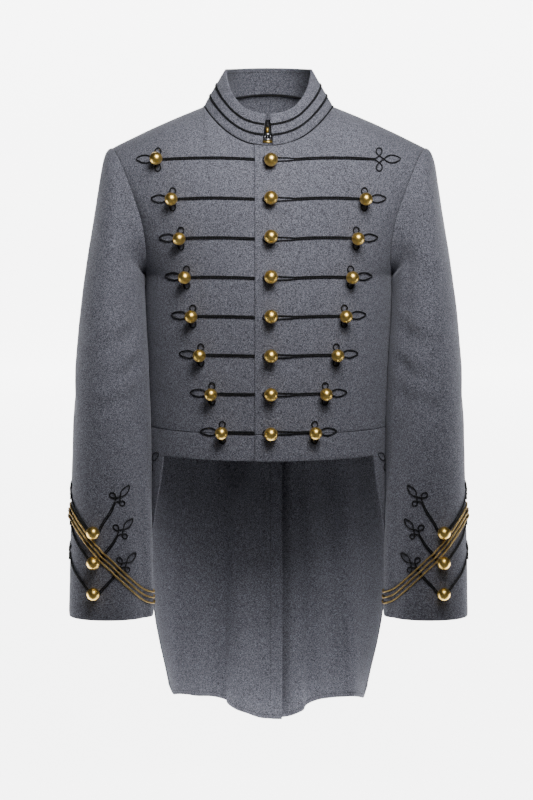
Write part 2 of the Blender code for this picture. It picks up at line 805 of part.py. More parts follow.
def trefoil(work, place, scale, base, top, counts=(6, 4)):
    """A knot of one long loop and two ears round a hub. It returns the posts where the cord line joins it.

    The long loop runs along +x. The ears lie along +y and -y, and the line joins at -x.
    """
    hub = HUB * scale
    half_cord = math.degrees(math.asin(CORD / 2 / hub))
    half_line = math.degrees(math.asin(CORD_LINE / 2 / hub))
    spokes = [
        (180.0, half_line),
        (-122.0, half_cord),
        (-72.0, half_cord),
        (-30.0, half_cord),
        (30.0, half_cord),
        (72.0, half_cord),
        (122.0, half_cord),
    ]
    posts = {}
    order = []
    for turn, half in spokes:
        for edge in (turn - half, turn + half):
            a = math.radians(edge)
            posts[turn, edge] = pair(work, place, Vector((math.cos(a), math.sin(a))) * hub, base, top)
            order.append(posts[turn, edge])
    work.faces.new([post[1] for post in order])
    work.faces.new([post[0] for post in reversed(order)])
    for k in range(1, len(order), 2):
        a, b = order[k], order[(k + 1) % len(order)]
        work.faces.new((a[0], b[0], b[1], a[1]))

    def side_posts(turn, half):
        return posts[turn, turn + half], posts[turn, turn - half]

    long_count, ear_count = counts
    long_line = loop_line(LOOP_LENGTH * scale, LOOP_HALF * scale, hub, long_count, 1.45)
    ear_line = loop_line(EAR_LENGTH * scale, EAR_HALF * scale, hub, ear_count, 2.0)
    loops = ((30.0, -30.0, 0.0, long_line), (122.0, 72.0, 90.0, ear_line), (-72.0, -122.0, -90.0, ear_line))
    for out, home, axis, line in loops:
        a = math.radians(axis)
        turned = [Vector((p.x * math.cos(a) - p.y * math.sin(a), p.x * math.sin(a) + p.y * math.cos(a)))
                  for p in line]
        start = side_posts(out, half_cord)
        end = side_posts(home, half_cord)[::-1]
        strip(work, place, turned, CORD, base, top, start, end)
    return side_posts(180.0, half_line)


def row_z(row):
    return TOP_ROW_Z - ROW_PITCH * row


def row_arch(row):
    """How far a frog's line bows up in its middle: more on the upper rows."""
    return 0.0022 * max(0.0, 1 - row / 6)


def frog(name, side, row):
    """One frog: the trefoil at its outer end, the doubled line, and on the upper front a loop for the
    button."""
    hub_x = SIDE_BUTTON_X[row]
    level = row_z(row)
    on_coat = coat_front_place(side)

    def place(x, y, height):
        return on_coat(side * (hub_x + x), level + y, height)

    inner_x = BUTTON_LOOP_FRONT if side > 0 else -FRONT_EDGE_X + 0.0014
    length = hub_x - inner_x
    knots = max(3, round(length / LINE_SEGMENT))
    line = []
    for k in range(1, knots + 1):
        reach = mix(-HUB, -length, k / knots)
        share = (reach + length) / length
        line.append(Vector((reach, row_arch(row) * math.sin(math.pi * share))))

    def fill(work):
        start = trefoil(work, place, 1.0, BRAID_BASE, BRAID_TOP)
        if side < 0:
            strip(work, place, line, CORD_LINE, BRAID_BASE, BRAID_TOP, start)
            return
        neck = pair(work, place, Vector((-length, 0.0019)), BRAID_BASE, BRAID_TOP), pair(
            work, place, Vector((-length, -0.0019)), BRAID_BASE, BRAID_TOP
        )
        strip(work, place, line[:-1], CORD_LINE, BRAID_BASE, BRAID_TOP, start, neck[::-1])
        button_loop(work, place, -length, neck)

    return new_object(name, fill, BRAID)


def button_loop(work, place, join_x, neck):
    """The loop that the centre button passes through, from the line's end round the button's shank and
    back."""
    upper, lower = neck
    fork_x = join_x - 0.0022
    posts = [pair(work, place, Vector((fork_x, y)), BRAID_BASE, BRAID_TOP) for y in (0.0022, 0.0004,
                                                                                     -0.0004, -0.0022)]
    hub = [upper, lower, posts[3], posts[2], posts[1], posts[0]]
    work.faces.new([post[1] for post in hub])
    work.faces.new([post[0] for post in reversed(hub)])
    for a, b in ((lower, posts[3]), (posts[2], posts[1]), (posts[0], upper)):
        work.faces.new((a[0], b[0], b[1], a[1]))
    span = BUTTON_LOOP_FRONT - BUTTON_LINE_X + BUTTON_LOOP_REAR - 0.0022
    centre = fork_x - span + BUTTON_LOOP_REAR
    line = []
    for x, y in ((0.0110, 0.0018), (0.0035, 0.0034), (-0.0025, 0.0041), (-0.0068, 0.0026)):
        line.append(Vector((centre + x, y)))
    line += [Vector((point.x, -point.y)) for point in reversed(line)]
    strip(work, place, line, 0.0018, BRAID_BASE, BRAID_TOP, (posts[1], posts[0]), (posts[2], posts[3]))


def button(name, foot, out, radius):
    """A ball on a short shank: foot is where the shank meets what it is sewn on, and out points off the
    cloth."""
    sides = 8
    neck = math.sqrt(radius**2 - SHANK**2)
    profile = [(SHANK, 0.0), (SHANK, SHANK_RISE)]
    middle = SHANK_RISE + neck
    bands = 4
    first = math.asin(SHANK / radius)
    for k in range(1, bands):
        a = mix(first, math.pi, k / bands)
        profile.append((radius * math.sin(a), middle - radius * math.cos(a)))
    turn = out.to_track_quat("Z", "Y")

    def fill(work):
        rings = []
        for r, h in profile:
            angles = [2 * math.pi * (k + 0.5) / sides for k in range(sides)]
            rings.append([work.verts.new(foot + turn @ Vector((r * math.cos(a), r * math.sin(a), h)))
                          for a in angles])
        work.faces.new(rings[0])
        for low, high in zip(rings, rings[1:]):
            for k in range(sides):
                n = (k + 1) % sides
                work.faces.new((low[k], low[n], high[n], high[k]))
        pole = work.verts.new(foot + out * (middle + radius))
        for k in range(sides):
            work.faces.new((rings[-1][k], rings[-1][(k + 1) % sides], pole))

    return new_object(name, fill, BRASS)


def make_front_trim():
    places = {side: coat_front_place(side) for side in (-1, 1)}

    def sew(name, side, x, z, foot, radius):
        """The ball hangs a little, so its shank leans down from the cloth's normal."""
        normal = (places[side](x, z, 2 * STEP) - places[side](x, z, STEP)).normalized()
        out = Vector((normal.x * BUTTON_TURN_IN, normal.y, normal.z * BUTTON_LEAN)).normalized()
        button(name, places[side](x, z, foot + SHANK * out.cross(normal).length), out, radius)

    for row in range(ROWS):
        frog(f"frog_right_{row + 1}", -1, row)
        frog(f"frog_left_{row + 1}", 1, row)
        sew(f"button_centre_{row + 1}", 1, BUTTON_LINE_X, row_z(row), SEAM, BALL_CENTRE)
        on_braid = BRAID_TOP + SEAM
        sew(f"button_right_{row + 1}", -1, -SIDE_BUTTON_X[row], row_z(row), on_braid, BALL_SIDE)
        if row:
            sew(f"button_left_{row + 1}", 1, SIDE_BUTTON_X[row], row_z(row), on_braid, BALL_SIDE)


def sleeve_place(side):
    """Places a turn in degrees and a level on a sleeve, moved out by a height."""

    def surface(a, b):
        return mirrored(sleeve_point(a * 360.0, b), side)

    def place(turn, z, height):
        low, high = 0.4, 1.0
        for _ in range(14):
            middle = (low + high) / 2
            if sleeve_point(turn, middle).z > z:
                low = middle
            else:
                high = middle
        a = (turn / 360.0) % 1.0
        return surface(a, low) + normal_of(surface, a, low) * side * height

    return place


def chevron(work, place, level, arms):
    """One black chevron: two doubled lines from the button up to a trefoil each.

    arms holds how far the front arm reaches and rises and then the same for the back arm.
    """
    level -= CHEVRON_DIP
    ends = {1: Vector(arms[:2]), -1: Vector(arms[2:])}
    tops = {}
    for hand, arm in ends.items():
        arm.y += CHEVRON_DIP
        knot_turn = math.atan2(arm.y, arm.x) + CHEVRON_KNOT_TURN
        along = Vector((math.cos(knot_turn), math.sin(knot_turn)))

        def arm_place(x, y, height, hand=hand, arm=arm, along=along):
            p = arm + along * x + Vector((-along.y, along.x)) * y
            return place(CUFF_BUTTON_TURN + hand * p.x / CUFF_MM_PER_DEGREE, level + p.y, height)

        start = trefoil(work, arm_place, CUFF_LOOP_SCALE, CUFF_BASE, CUFF_TOP)
        if hand < 0:
            start = start[::-1]
        tops[hand] = start
    middle = [Vector((ends[1].x * share, ends[1].y * share)) for share in (0.75, 0.5, 0.25)]
    middle.append(Vector((0.0, 0.0)))
    middle += [Vector((-ends[-1].x * share, ends[-1].y * share)) for share in (0.2, 0.4, 0.6, 0.8)]

    def level_place(x, y, height):
        return place(CUFF_BUTTON_TURN + x / CUFF_MM_PER_DEGREE, level + y, height)

    strip(work, level_place, middle, CORD_LINE, CUFF_BASE, CUFF_TOP, tops[1], tops[-1][::-1])


def gold_ring(work, place, offset):
    """One gold cord round the whole sleeve, high on the outside and low on the inside."""
    posts = []
    for turn in sleeve_turns(-90.0, 269.0):
        a = math.radians(turn)
        level = GOLD_MIDDLE_Z + offset + GOLD_SWEEP * math.cos(a) - GOLD_SAG * math.sin(a) ** 2
        edges = []
        for y in (GOLD_CORD / 2, -GOLD_CORD / 2):
            edges.append(tuple(work.verts.new(place(turn, level + y, h)) for h in (CUFF_BASE, GOLD_TOP)))
        posts.append(edges)
    for here, there in zip(posts, posts[1:] + posts[:1]):
        strip_faces(work, *here, *there)


def make_cuff_trim():
    for side, word in ((-1, "right"), (1, "left")):
        place = sleeve_place(side)
        whole = None
        for level, arms in zip(CUFF_BUTTON_Z, CHEVRON_ARMS):
            piece = new_object("cuff_trim_" + word, lambda work: chevron(work, place, level, arms), BRAID)
            whole = joined(whole, piece)
        for k in (-1, 0, 1):
            piece = new_object("cuff_trim_" + word, lambda work: gold_ring(work, place, k * GOLD_PITCH),
                               BRAID)
            whole = joined(whole, piece)
        whole.name = "cuff_trim_" + word
        for number, level in enumerate(CUFF_BUTTON_Z, 1):
            foot, above = (place(CUFF_BUTTON_TURN, level, height) for height in (SEAM / 2, SEAM + STEP))
            button(f"button_cuff_{word}_{number}", foot, (above - foot).normalized(), BALL_CUFF)


def joined(whole, piece):
    """The Boolean union of two pieces of one trim, as one object."""
    if whole is None:
        return piece
    union = whole.modifiers.new("Join", "BOOLEAN")
    union.operation = "UNION"
    union.object = piece
    bpy.context.view_layer.update()
    graph = bpy.context.evaluated_depsgraph_get()
    mesh = bpy.data.meshes.new_from_object(whole.evaluated_get(graph))
    whole.modifiers.clear()
    whole.data = mesh
    bpy.data.objects.remove(piece)
    return whole


def make_clasp():
    """The hook plate behind the collar's front gap: a low bar, a stem and a hook's head."""
    outline = ((-0.0095, 0.0), (0.0095, 0.0), (0.0095, 0.0035), (0.0022, 0.0045), (0.0022, 0.0120),
               (0.0032, 0.0150),
               (0.0026, 0.0210), (-0.0026, 0.0210), (-0.0032, 0.0150), (-0.0022, 0.0120), (-0.0022, 0.0045),
               (-0.0095, 0.0035))
    low, high = collar_point(0.0, 0.06), collar_point(0.0, 0.56)
    up = (high - low).normalized()
    back = up.cross(Vector((1, 0, 0))).normalized() * -1
    if back.y < 0:
        back.negate()
    middle = Vector((COLLAR_MIDDLE_X, low.y, low.z)) + back * (COLLAR_CLOTH + 2 * SEAM)

    def fill(work):
        layers = []
        for depth in (0.0, 0.0018):
            layers.append([work.verts.new(middle + Vector((x, 0, 0)) + up * h + back * depth) for x,
                           h in outline])
        work.faces.new(layers[0])
        work.faces.new(layers[1][::-1])
        for k in range(len(outline)):
            n = (k + 1) % len(outline)
            work.faces.new((layers[0][k], layers[0][n], layers[1][n], layers[1][k]))

    new_object("collar_clasp", fill, BRASS)


def main():
    for thing in list(bpy.data.objects):
        bpy.data.objects.remove(thing)
    make_fronts()
    make_back()
    make_skirts()
    make_sleeves()
    make_collar()
    make_collar_braid()
    make_front_trim()
    make_cuff_trim()
    make_clasp()


main()
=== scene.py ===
"""The finished surfaces of a grey full dress tailcoat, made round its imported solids.

The cloth is rebuilt from the same section tables as the solids, finer, with rolled edges, pressed seams and
creases. Cords are then laid on that cloth. The front faces -Y, the wearer's left is +X and +Z is up. Sizes
are in metres.
"""

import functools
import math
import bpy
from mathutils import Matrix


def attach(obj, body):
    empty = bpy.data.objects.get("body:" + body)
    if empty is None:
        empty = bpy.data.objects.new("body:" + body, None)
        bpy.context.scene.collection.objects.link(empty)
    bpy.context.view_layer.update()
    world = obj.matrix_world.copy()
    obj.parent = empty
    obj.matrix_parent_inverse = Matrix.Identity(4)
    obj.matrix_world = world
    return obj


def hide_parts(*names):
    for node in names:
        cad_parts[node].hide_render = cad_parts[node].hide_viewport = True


bl_info = {
    "name": "Full Dress Tailcoat",
    "version": (1, 0, 0),
    "blender": (4, 5, 0),
    "location": "View3D > Sidebar > Coat",
    "description": "Builds the cloth, cords, buttons and studio of a full dress tailcoat",
    "category": "Object",
}

import bmesh
import bpy
from bpy.props import FloatProperty, FloatVectorProperty, IntProperty, PointerProperty
from mathutils import Matrix, Vector, noise
from mathutils.bvhtree import BVHTree
from mathutils.kdtree import KDTree

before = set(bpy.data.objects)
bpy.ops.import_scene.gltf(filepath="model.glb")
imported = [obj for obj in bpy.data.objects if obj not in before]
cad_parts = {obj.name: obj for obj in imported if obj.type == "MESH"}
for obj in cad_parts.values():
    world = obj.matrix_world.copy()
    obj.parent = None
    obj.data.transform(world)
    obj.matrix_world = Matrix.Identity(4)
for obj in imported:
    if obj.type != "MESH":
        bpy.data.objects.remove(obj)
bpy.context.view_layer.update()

BODY = "root"

# The wearer's right and left: the sign of x, and the word in a name
HANDS = ((-1, "right"), (1, "left"))

# Walls and seams
CLOTH = 0.0025
COLLAR_CLOTH = 0.0035
SEAM = 0.0003
LAP = CLOTH + 2 * SEAM
STEP = 1e-3

# Neckline, shoulders and armholes
NECK_HALF = 0.0955
NECK_FRONT_Y = -0.077
NECK_BACK_Y = 0.078
NECK_FRONT_Z = -0.0545
NECK_SIDE_Z = 0.002
NECK_BACK_Z = 0.0195
SHOULDER_TIP = Vector((0.231, 0.012, -0.0585))
FRONT_NOTCH = Vector((0.187, -0.062, -0.157))
BACK_NOTCH = Vector((0.197, 0.084, -0.150))
UNDERARM = Vector((0.182, 0.012, -0.245))
ARMHOLE_MIDDLE_Z = -0.150
ARMHOLE_HOLLOW = 0.045
SHOULDER_CROWN = 0.002

# Levels of the body panels
CHEST_Z = -0.172
WAIST_Z = -0.471
STRAP_HEM_Z = -0.510
NECK_SHARE = 0.40
ROUNDED_SHARE = 0.70
CHEST_AT = 0.34
UNDERARM_AT = 0.50
NECK_COLUMNS = 5
EDGE_SHARE = 0.1
NOTCH_TURN = math.radians(62)
SIDE_Y = UNDERARM.y
RING_POWER = 0.88

# Torso and tail rings: level, half width, front y, back y
TORSO = (
    (-0.172, 0.1840, -0.118, 0.120),
    (-0.245, 0.1820, -0.124, 0.122),
    (-0.300, 0.1820, -0.124, 0.117),
    (-0.360, 0.1815, -0.121, 0.109),
    (-0.420, 0.1810, -0.118, 0.105),
    (-0.471, 0.1810, -0.117, 0.106),
    (-0.510, 0.1815, -0.119, 0.109),
    (-0.600, 0.1820, -0.121, 0.114),
    (-0.700, 0.1795, -0.121, 0.118),
    (-0.757, 0.1745, -0.121, 0.120),
    (-0.810, 0.1670, -0.119, 0.121),
    (-0.860, 0.1570, -0.117, 0.122),
    (-0.900, 0.1500, -0.115, 0.123),
    (-0.960, 0.1460, -0.113, 0.124),
)

# Front edge of each tail: level, turn from centre front in degrees
TAIL_EDGE = (
    (-0.510, 59.0),
    (-0.557, 63.0),
    (-0.594, 68.0),
    (-0.636, 74.5),
    (-0.700, 82.0),
    (-0.757, 87.0),
    (-0.810, 92.0),
    (-0.860, 96.0),
    (-0.900, 99.0),
    (-0.960, 101.0),
)

# Tail hem: distance from the middle of the back, level
TAIL_HEM = (
    (0.000, -0.950),
    (0.020, -0.948),
    (0.042, -0.939),
    (0.066, -0.924),
    (0.090, -0.915),
    (0.125, -0.908),
    (0.150, -0.898),
)
TAIL_MIDDLE_X = 0.006

# Folds of the tails: x where one begins, x where it is full, depth at the hem (towards the front)
TAIL_FOLDS = (
    (-0.066, -0.038, 0.020),
    (0.052, 0.082, -0.020),
    (-0.128, -0.104, 0.007),
    (0.112, 0.136, -0.007),
)

# Sleeve rings: outer x, outer z, inner x, inner z, middle y, half depth
SLEEVE = (
    (0.2310, -0.0585, 0.1820, -0.2450, 0.010, 0.072),
    (0.2385, -0.0625, 0.1850, -0.2475, 0.010, 0.073),
    (0.2440, -0.0740, 0.1865, -0.2510, 0.010, 0.075),
    (0.2510, -0.1080, 0.1877, -0.2600, 0.010, 0.078),
    (0.2610, -0.1700, 0.1880, -0.2800, 0.005, 0.080),
    (0.2705, -0.2300, 0.1870, -0.3050, -0.001, 0.079),
    (0.2800, -0.3000, 0.1848, -0.3450, -0.010, 0.077),
    (0.2858, -0.3700, 0.1825, -0.3950, -0.018, 0.074),
    (0.2902, -0.4500, 0.1808, -0.4600, -0.025, 0.070),
    (0.2928, -0.5300, 0.1800, -0.5300, -0.029, 0.065),
    (0.2950, -0.6100, 0.1797, -0.6100, -0.032, 0.058),
    (0.2972, -0.6800, 0.1787, -0.6800, -0.034, 0.051),
    (0.2990, -0.7555, 0.1785, -0.7555, -0.036, 0.045),
)
SLEEVE_MIDDLE = tuple(((oz + iz) / 2, (ox + ix) / 2, y) for ox, oz, ix, iz, y, _ in SLEEVE)  # level, x, y
SLEEVE_POWER = 0.94
SLEEVE_CREASE_TOP = -0.075
CAP_RINGS = 3
FRONT_SLEEVE_SEAM = 180.0
BACK_SLEEVE_SEAM = 270.0
SEAM_TURN = 0.18

# Standing collar
COLLAR_TOP_HALF = 0.0635
COLLAR_TOP_FRONT_Y = -0.067
COLLAR_TOP_BACK_Y = 0.062
COLLAR_TOP_FRONT_Z = -0.0085
COLLAR_TOP_SIDE_Z = 0.0575
COLLAR_TOP_BACK_Z = 0.0600
COLLAR_MIDDLE_X = -0.0013
COLLAR_GAP_BASE = 0.0080
COLLAR_GAP_TOP = 0.0022

# Front closing, frogs and buttons
FRONT_EDGE_X = -0.020
UNDERLAP_X = 0.018
LAP_FADE_X = 0.050
HEM_MIDDLE_Z = -0.92
STRAP_FIRST = 0.06
STRAP_SHARE = 0.30
STRAP_ROWS = 0.10
VENT_SHARE = 0.05
ROWS = 8
TOP_ROW_Z = -0.0745
ROW_PITCH = 0.0563
BUTTON_LINE_X = 0.0035
BALL_CENTRE = 0.0099
BALL_SIDE = 0.0094
BALL_CUFF = 0.0097
SHANK = 0.0015
SHANK_RISE = 0.0032
BUTTON_TURN_IN = 0.30

# Cuff trim
CUFF_MM_PER_DEGREE = 0.001
CHEVRON_DIP = 0.0075
CHEVRON_KNOT_TURN = math.radians(-14)
CUFF_LOOP_SCALE = 0.84
GOLD_MIDDLE_Z = -0.6612
GOLD_SWEEP = 0.0665
GOLD_SAG = 0.0040

# Rolled edges and pressed seams
ROLL_SHARE = 0.42
PRESS_DEPTH = 0.0005
PRESS_WIDTH = 0.0035
NEAR_EDGE = (0.0003, 0.0008, 0.0015, 0.0032, 0.0060)
BORDER_REACH = 6
SEAM_REACH = 0.007
CALM_REACH = 0.009
STRAND_SHARE = 0.29

# Creases seen from the front: side, start x and z, end x and z, half width, depth
FRONT_CREASES = (
    (1, 0.004, -0.162, 0.040, -0.146, 0.008, 0.0024),
    (1, 0.010, -0.150, 0.018, -0.182, 0.007, 0.0012),
    (1, 0.006, -0.205, 0.034, -0.199, 0.006, 0.0011),
    (1, 0.004, -0.262, 0.036, -0.249, 0.007, 0.0014),
    (1, 0.006, -0.318, 0.034, -0.310, 0.006, 0.0010),
    (1, 0.004, -0.375, 0.038, -0.362, 0.008, 0.0015),
    (1, 0.004, -0.432, 0.036, -0.425, 0.007, 0.0010),
    (-1, -0.150, -0.150, -0.120, -0.225, 0.012, 0.0010),
    (1, 0.150, -0.150, 0.122, -0.225, 0.012, 0.0010),
    (-1, -0.160, -0.420, -0.060, -0.455, 0.010, 0.0007),
    (1, 0.165, -0.415, 0.070, -0.450, 0.010, 0.0007),
)

# Creases of the back: start x and z, end x and z, half width, depth
BACK_CREASES = (
    (-0.150, -0.400, -0.080, -0.440, 0.012, 0.0012),
    (0.155, -0.395, 0.085, -0.435, 0.012, 0.0011),
    (-0.165, -0.150, -0.130, -0.240, 0.014, 0.0014),
    (0.165, -0.150, 0.132, -0.235, 0.014, 0.0014),
    (-0.030, -0.030, 0.035, -0.036, 0.010, 0.0008),
)

# Creases of a sleeve: turn and level where one starts and ends, half width, depth
SLEEVE_CREASES = (
    (165.0, -0.300, 70.0, -0.355, 0.013, 0.0030),
    (170.0, -0.345, 90.0, -0.400, 0.011, 0.0034),
    (150.0, -0.410, 60.0, -0.445, 0.013, 0.0026),
    (120.0, -0.200, 60.0, -0.270, 0.015, 0.0022),
    (30.0, -0.110, 62.0, -0.220, 0.016, 0.0016),
    (350.0, -0.380, 40.0, -0.470, 0.016, 0.0018),
    (60.0, -0.520, 110.0, -0.600, 0.014, 0.0014),
)

# Soft vertical folds in the tails: x, top level, half width, depth towards the front
TAIL_CREASES = (
    (-0.047, -0.500, 0.020, 0.0100),
    (0.062, -0.490, 0.015, -0.0092),
    (0.128, -0.500, 0.018, -0.0076),
    (-0.118, -0.560, 0.020, 0.0032),
    (0.094, -0.620, 0.010, 0.0024),
    (-0.150, -0.600, 0.014, -0.0032),
)

# Path of one knot of three loops in thousandths: along the line, across it, lift
KNOT_PATH = (
    (-6.2, 1.0, 0.0),
    (-3.2, 2.7, 0.0),
    (0.0, 4.8, 0.9),
    (3.0, 7.6, 0.2),
    (4.5, 11.3, 0.0),
    (2.7, 15.0, 0.0),
    (0.0, 16.0, 0.0),
    (-2.7, 15.0, 0.0),
    (-4.5, 11.3, 0.0),
    (-3.0, 7.6, 0.0),
    (0.0, 4.8, 0.0),
    (3.3, 2.5, 0.0),
    (6.6, 0.0, 0.9),
    (12.0, -4.0, 0.1),
    (18.5, -5.6, 0.0),
    (26.0, -4.1, 0.0),
    (31.6, -1.0, 0.0),
    (32.4, 0.0, 0.0),
    (31.6, 1.0, 0.0),
    (26.0, 4.1, 0.0),
    (18.5, 5.6, 0.0),
    (12.0, 4.0, 0.0),
    (6.6, 0.0, 0.0),
    (3.3, -2.5, 0.0),
    (0.0, -4.8, 0.9),
    (-3.0, -7.8, 0.2),
    (-4.5, -12.0, 0.0),
    (-2.7, -16.0, 0.0),
    (0.0, -17.2, 0.0),
    (2.7, -16.0, 0.0),
    (4.5, -12.0, 0.0),
    (3.0, -7.8, 0.0),
    (0.0, -4.8, 0.0),
    (-3.2, -2.7, 0.0),
    (-6.2, -1.0, 0.0),
)

# Path of the loop round a centre button's shank, from the button: across, up
BUTTON_LOOP_PATH = (
    (0.0290, 0.0018),
    (0.0200, 0.0021),
    (0.0100, 0.0027),
    (0.0020, 0.0044),
    (-0.0055, 0.0052),
    (-0.0105, 0.0028),
    (-0.0118, 0.0),
    (-0.0105, -0.0028),
    (-0.0055, -0.0052),
    (0.0020, -0.0044),
    (0.0100, -0.0027),
    (0.0200, -0.0021),
    (0.0290, -0.0018),
)

# Knots on the side of each tail: turn of the hub in degrees, level, tilt, size, and the cord below them
TAIL_KNOT_TURN = 74.0
TAIL_KNOT_Z = -0.522
TAIL_KNOT_TILT = math.radians(27)
TAIL_KNOT_SCALE = 0.92
TAIL_CORD_LINE = (
    (-0.0085, -0.0050),
    (-0.0105, -0.0150),
    (-0.0105, -0.0500),
    (-0.0100, -0.0850),
    (-0.0090, -0.1180),
)
TAIL_CORD = 0.0015

# Cords, as shares of the radius: how far a doubled line's two stand off its middle, and how high they lie
PAIR_SHARE = 0.95
LAID_SHARE = 0.9

# Frogs: where the line meets its knot, and how far from its button's line a left one leaves the button's loop
KNOT_START = -0.0062
FROG_START = 0.033

# Collar: shares of its height where the bands lie in front, with how much lower they are at the sides
COLLAR_BANDS = ((0.33, 0.04), (0.66, 0.09))
BAND_DROP_POWER = 6
COLLAR_HEIGHT = 0.050
FRONT_TUCK_X = 0.0196
CUFF_GOLD_PITCH = 0.0086
SEAM_THREAD = 0.0017
NECK_CORD = 0.0033
NECK_CORD_DROP = 0.0014
HEM_STITCH = 0.0072
COLLAR_STITCH = 0.0070

# Bars of the clasp: x, height, depth, width, tallness, thickness
CLASP_BRASS = (
    (0.0, 0.0030, 0.0, 0.0160, 0.0034, 0.0012),
    (-0.0006, 0.0205, -0.0006, 0.0044, 0.0085, 0.0012),
)
CLASP_STEEL = (
    (0.0, 0.0066, 0.0002, 0.0130, 0.0034, 0.0010),
    (-0.0040, 0.0103, 0.0002, 0.0026, 0.0050, 0.0010),
    (0.0040, 0.0103, 0.0002, 0.0026, 0.0050, 0.0010),
    (0.0, 0.0103, 0.0002, 0.0014, 0.0050, 0.0010),
    (0.0, 0.0143, 0.0002, 0.0080, 0.0036, 0.0010),
    (0.0004, 0.0285, 0.0002, 0.0012, 0.0080, 0.0008),
)
CLASP_BACKING = ((0.0, 0.0190, 0.0028, 0.0240, 0.0340, 0.0012),)

BUTTON_DROP = 0.20

# Each row: how far its knots stand from the middle, and how much higher its centre button hangs
KNOT_X = (0.1601, 0.1381, 0.1263, 0.1183, 0.1093, 0.0979, 0.0819, 0.0669)
CENTRE_RISE = (-0.0010, 0.0020, 0.0038, 0.0028, 0.0025, 0.0015, 0.0015, 0.0000)

# Cuffs: turn of the buttons in degrees, their levels, and the arms of the chevrons
CUFF_TURN = 74.5
CUFF_LEVELS = (-0.6187, -0.6641, -0.7113)
CUFF_ARMS = (
    (0.030, 0.0478, 0.066, 0.0515),
    (0.034, 0.0440, 0.066, 0.0580),
    (0.038, 0.0408, 0.066, 0.0535),
)

# Where the body swells to meet the sleeves: level, how far
SIDE_FULLNESS = (
    (-0.220, 0.0),
    (-0.250, 0.0026),
    (-0.300, 0.0031),
    (-0.340, 0.0027),
    (-0.400, 0.0021),
    (-0.460, 0.0018),
    (-0.520, 0.0012),
    (-0.600, 0.0014),
    (-0.660, 0.0020),
    (-0.700, 0.0026),
    (-0.760, 0.0),
)
SIDE_WIDTH = 0.050
SLEEVE_ROOM = 0.0012
SLEEVE_REACH = 0.0065

# Collar's top edge: how much it follows the flat cut, and how square it is in front
COLLAR_CUT = 0.75
COLLAR_SQUARE = 0.76

# Vent: how far its strip laps past the middle, its stitched line, the depth of its step, and the hem's corner
VENT_LAP_X = 0.0218
VENT_STITCH_X = 0.0035
VENT_STEP = 0.0042
CORNER_SHARE = 0.050
CORNER_RISE = 0.045
TAIL_SIDE_RADIUS = 0.139

# Studio. The floor in front of FLOOR_SPLIT_Y is darker than the backdrop behind it, and doesn't glow.
CAMERA_TARGET = Vector((-0.003, 0.0, -0.435))
FLOOR_Z = -1.06
FLOOR_FRONT_Y = -6.0
FLOOR_SPLIT_Y = -0.05
WORLD_STRENGTH = 0.025
BACKDROP_GLOW = 5.6
BACKDROP_HALF = 3.0
FRONT_FLOOR_SHADE = 0.5
WALL_START_Y = 6.0
WALL_CURVE = 1.5
WALL_HEIGHT = 6.0

# Lights: place, aim, size, spread in degrees
KEY_LIGHT = ((0.20, -0.95, 0.62), (0.0, -0.1, -0.02), 0.6, 70.0)
FILL_LIGHT = ((0.50, -2.60, 1.05), (0.0, 0.0, -0.45), 0.9, 180.0)

# Relief: dimples at the centre buttons, the back's pressed seam, the vent's ridge, the ridge above a crease
DIMPLE_WIDTH = 0.011
DIMPLE_DEPTH = 0.0009
BACK_SEAM_WIDTH = 0.0022
BACK_SEAM_DEPTH = 0.0006
VENT_RIDGE_WIDTH = 0.0018
VENT_RIDGE_HEIGHT = 0.0008
CREASE_RADIUS = 0.052
RIDGE_RISE = 1.7
RIDGE_SHARE = 0.55

# Reading a place off the cloth's front: how far round it to look, and a drop that means a miss
SPOT_REACH = 0.0026
SPOT_DROP = 0.004

# Ends of the collar's cords as shares of its length, and the vent's stitched line
COLLAR_CORD_ENDS = (0.0008, 0.9992)
VENT_STITCH_LOW_Z = -0.928
VENT_STITCH_STEPS = 60


def mix(a, b, t):
    return a + (b - a) * t


def ease(t):
    t = min(max(t, 0.0), 1.0)
    return t * t * (3 - 2 * t)


def signed_power(value, power):
    return math.copysign(abs(value) ** power, value)


def through(table, column, at):
    """A smooth curve through one column of a table whose first column is its station."""
    rows = table if table[0][0] < table[-1][0] else table[::-1]
    last = len(rows) - 1
    k = 0
    while k < last - 1 and at > rows[k + 1][0]:
        k += 1
    station = [rows[min(max(i, 0), last)][0] for i in range(k - 1, k + 3)]
    value = [rows[min(max(i, 0), last)][column] for i in range(k - 1, k + 3)]
    span = station[2] - station[1]
    t = min(max((at - station[1]) / span, 0.0), 1.0)
    rise = value[2] - value[1]
    slope_in = span * (value[2] - value[0]) / (station[2] - station[0]) if k > 0 else rise
    slope_out = span * (value[3] - value[1]) / (station[3] - station[1]) if k < last - 1 else rise
    return (
        (2 * t**3 - 3 * t**2 + 1) * value[1]
        + (t**3 - 2 * t**2 + t) * slope_in
        + (3 * t**2 - 2 * t**3) * value[2]
        + (t**3 - t**2) * slope_out
    )


def neckline(turn):
    """The neck seam. turn runs from 0 at centre front to pi at centre back, on the wearer's left."""
    forward = math.cos(turn)
    if forward >= 0:
        y = NECK_FRONT_Y * forward
        z = mix(NECK_FRONT_Z, NECK_SIDE_Z, abs(math.sin(turn)) ** 2.3)
    else:
        y = -NECK_BACK_Y * forward
        z = mix(NECK_SIDE_Z, NECK_BACK_Z, forward * forward)
    return Vector((NECK_HALF * math.sin(turn), y, z))


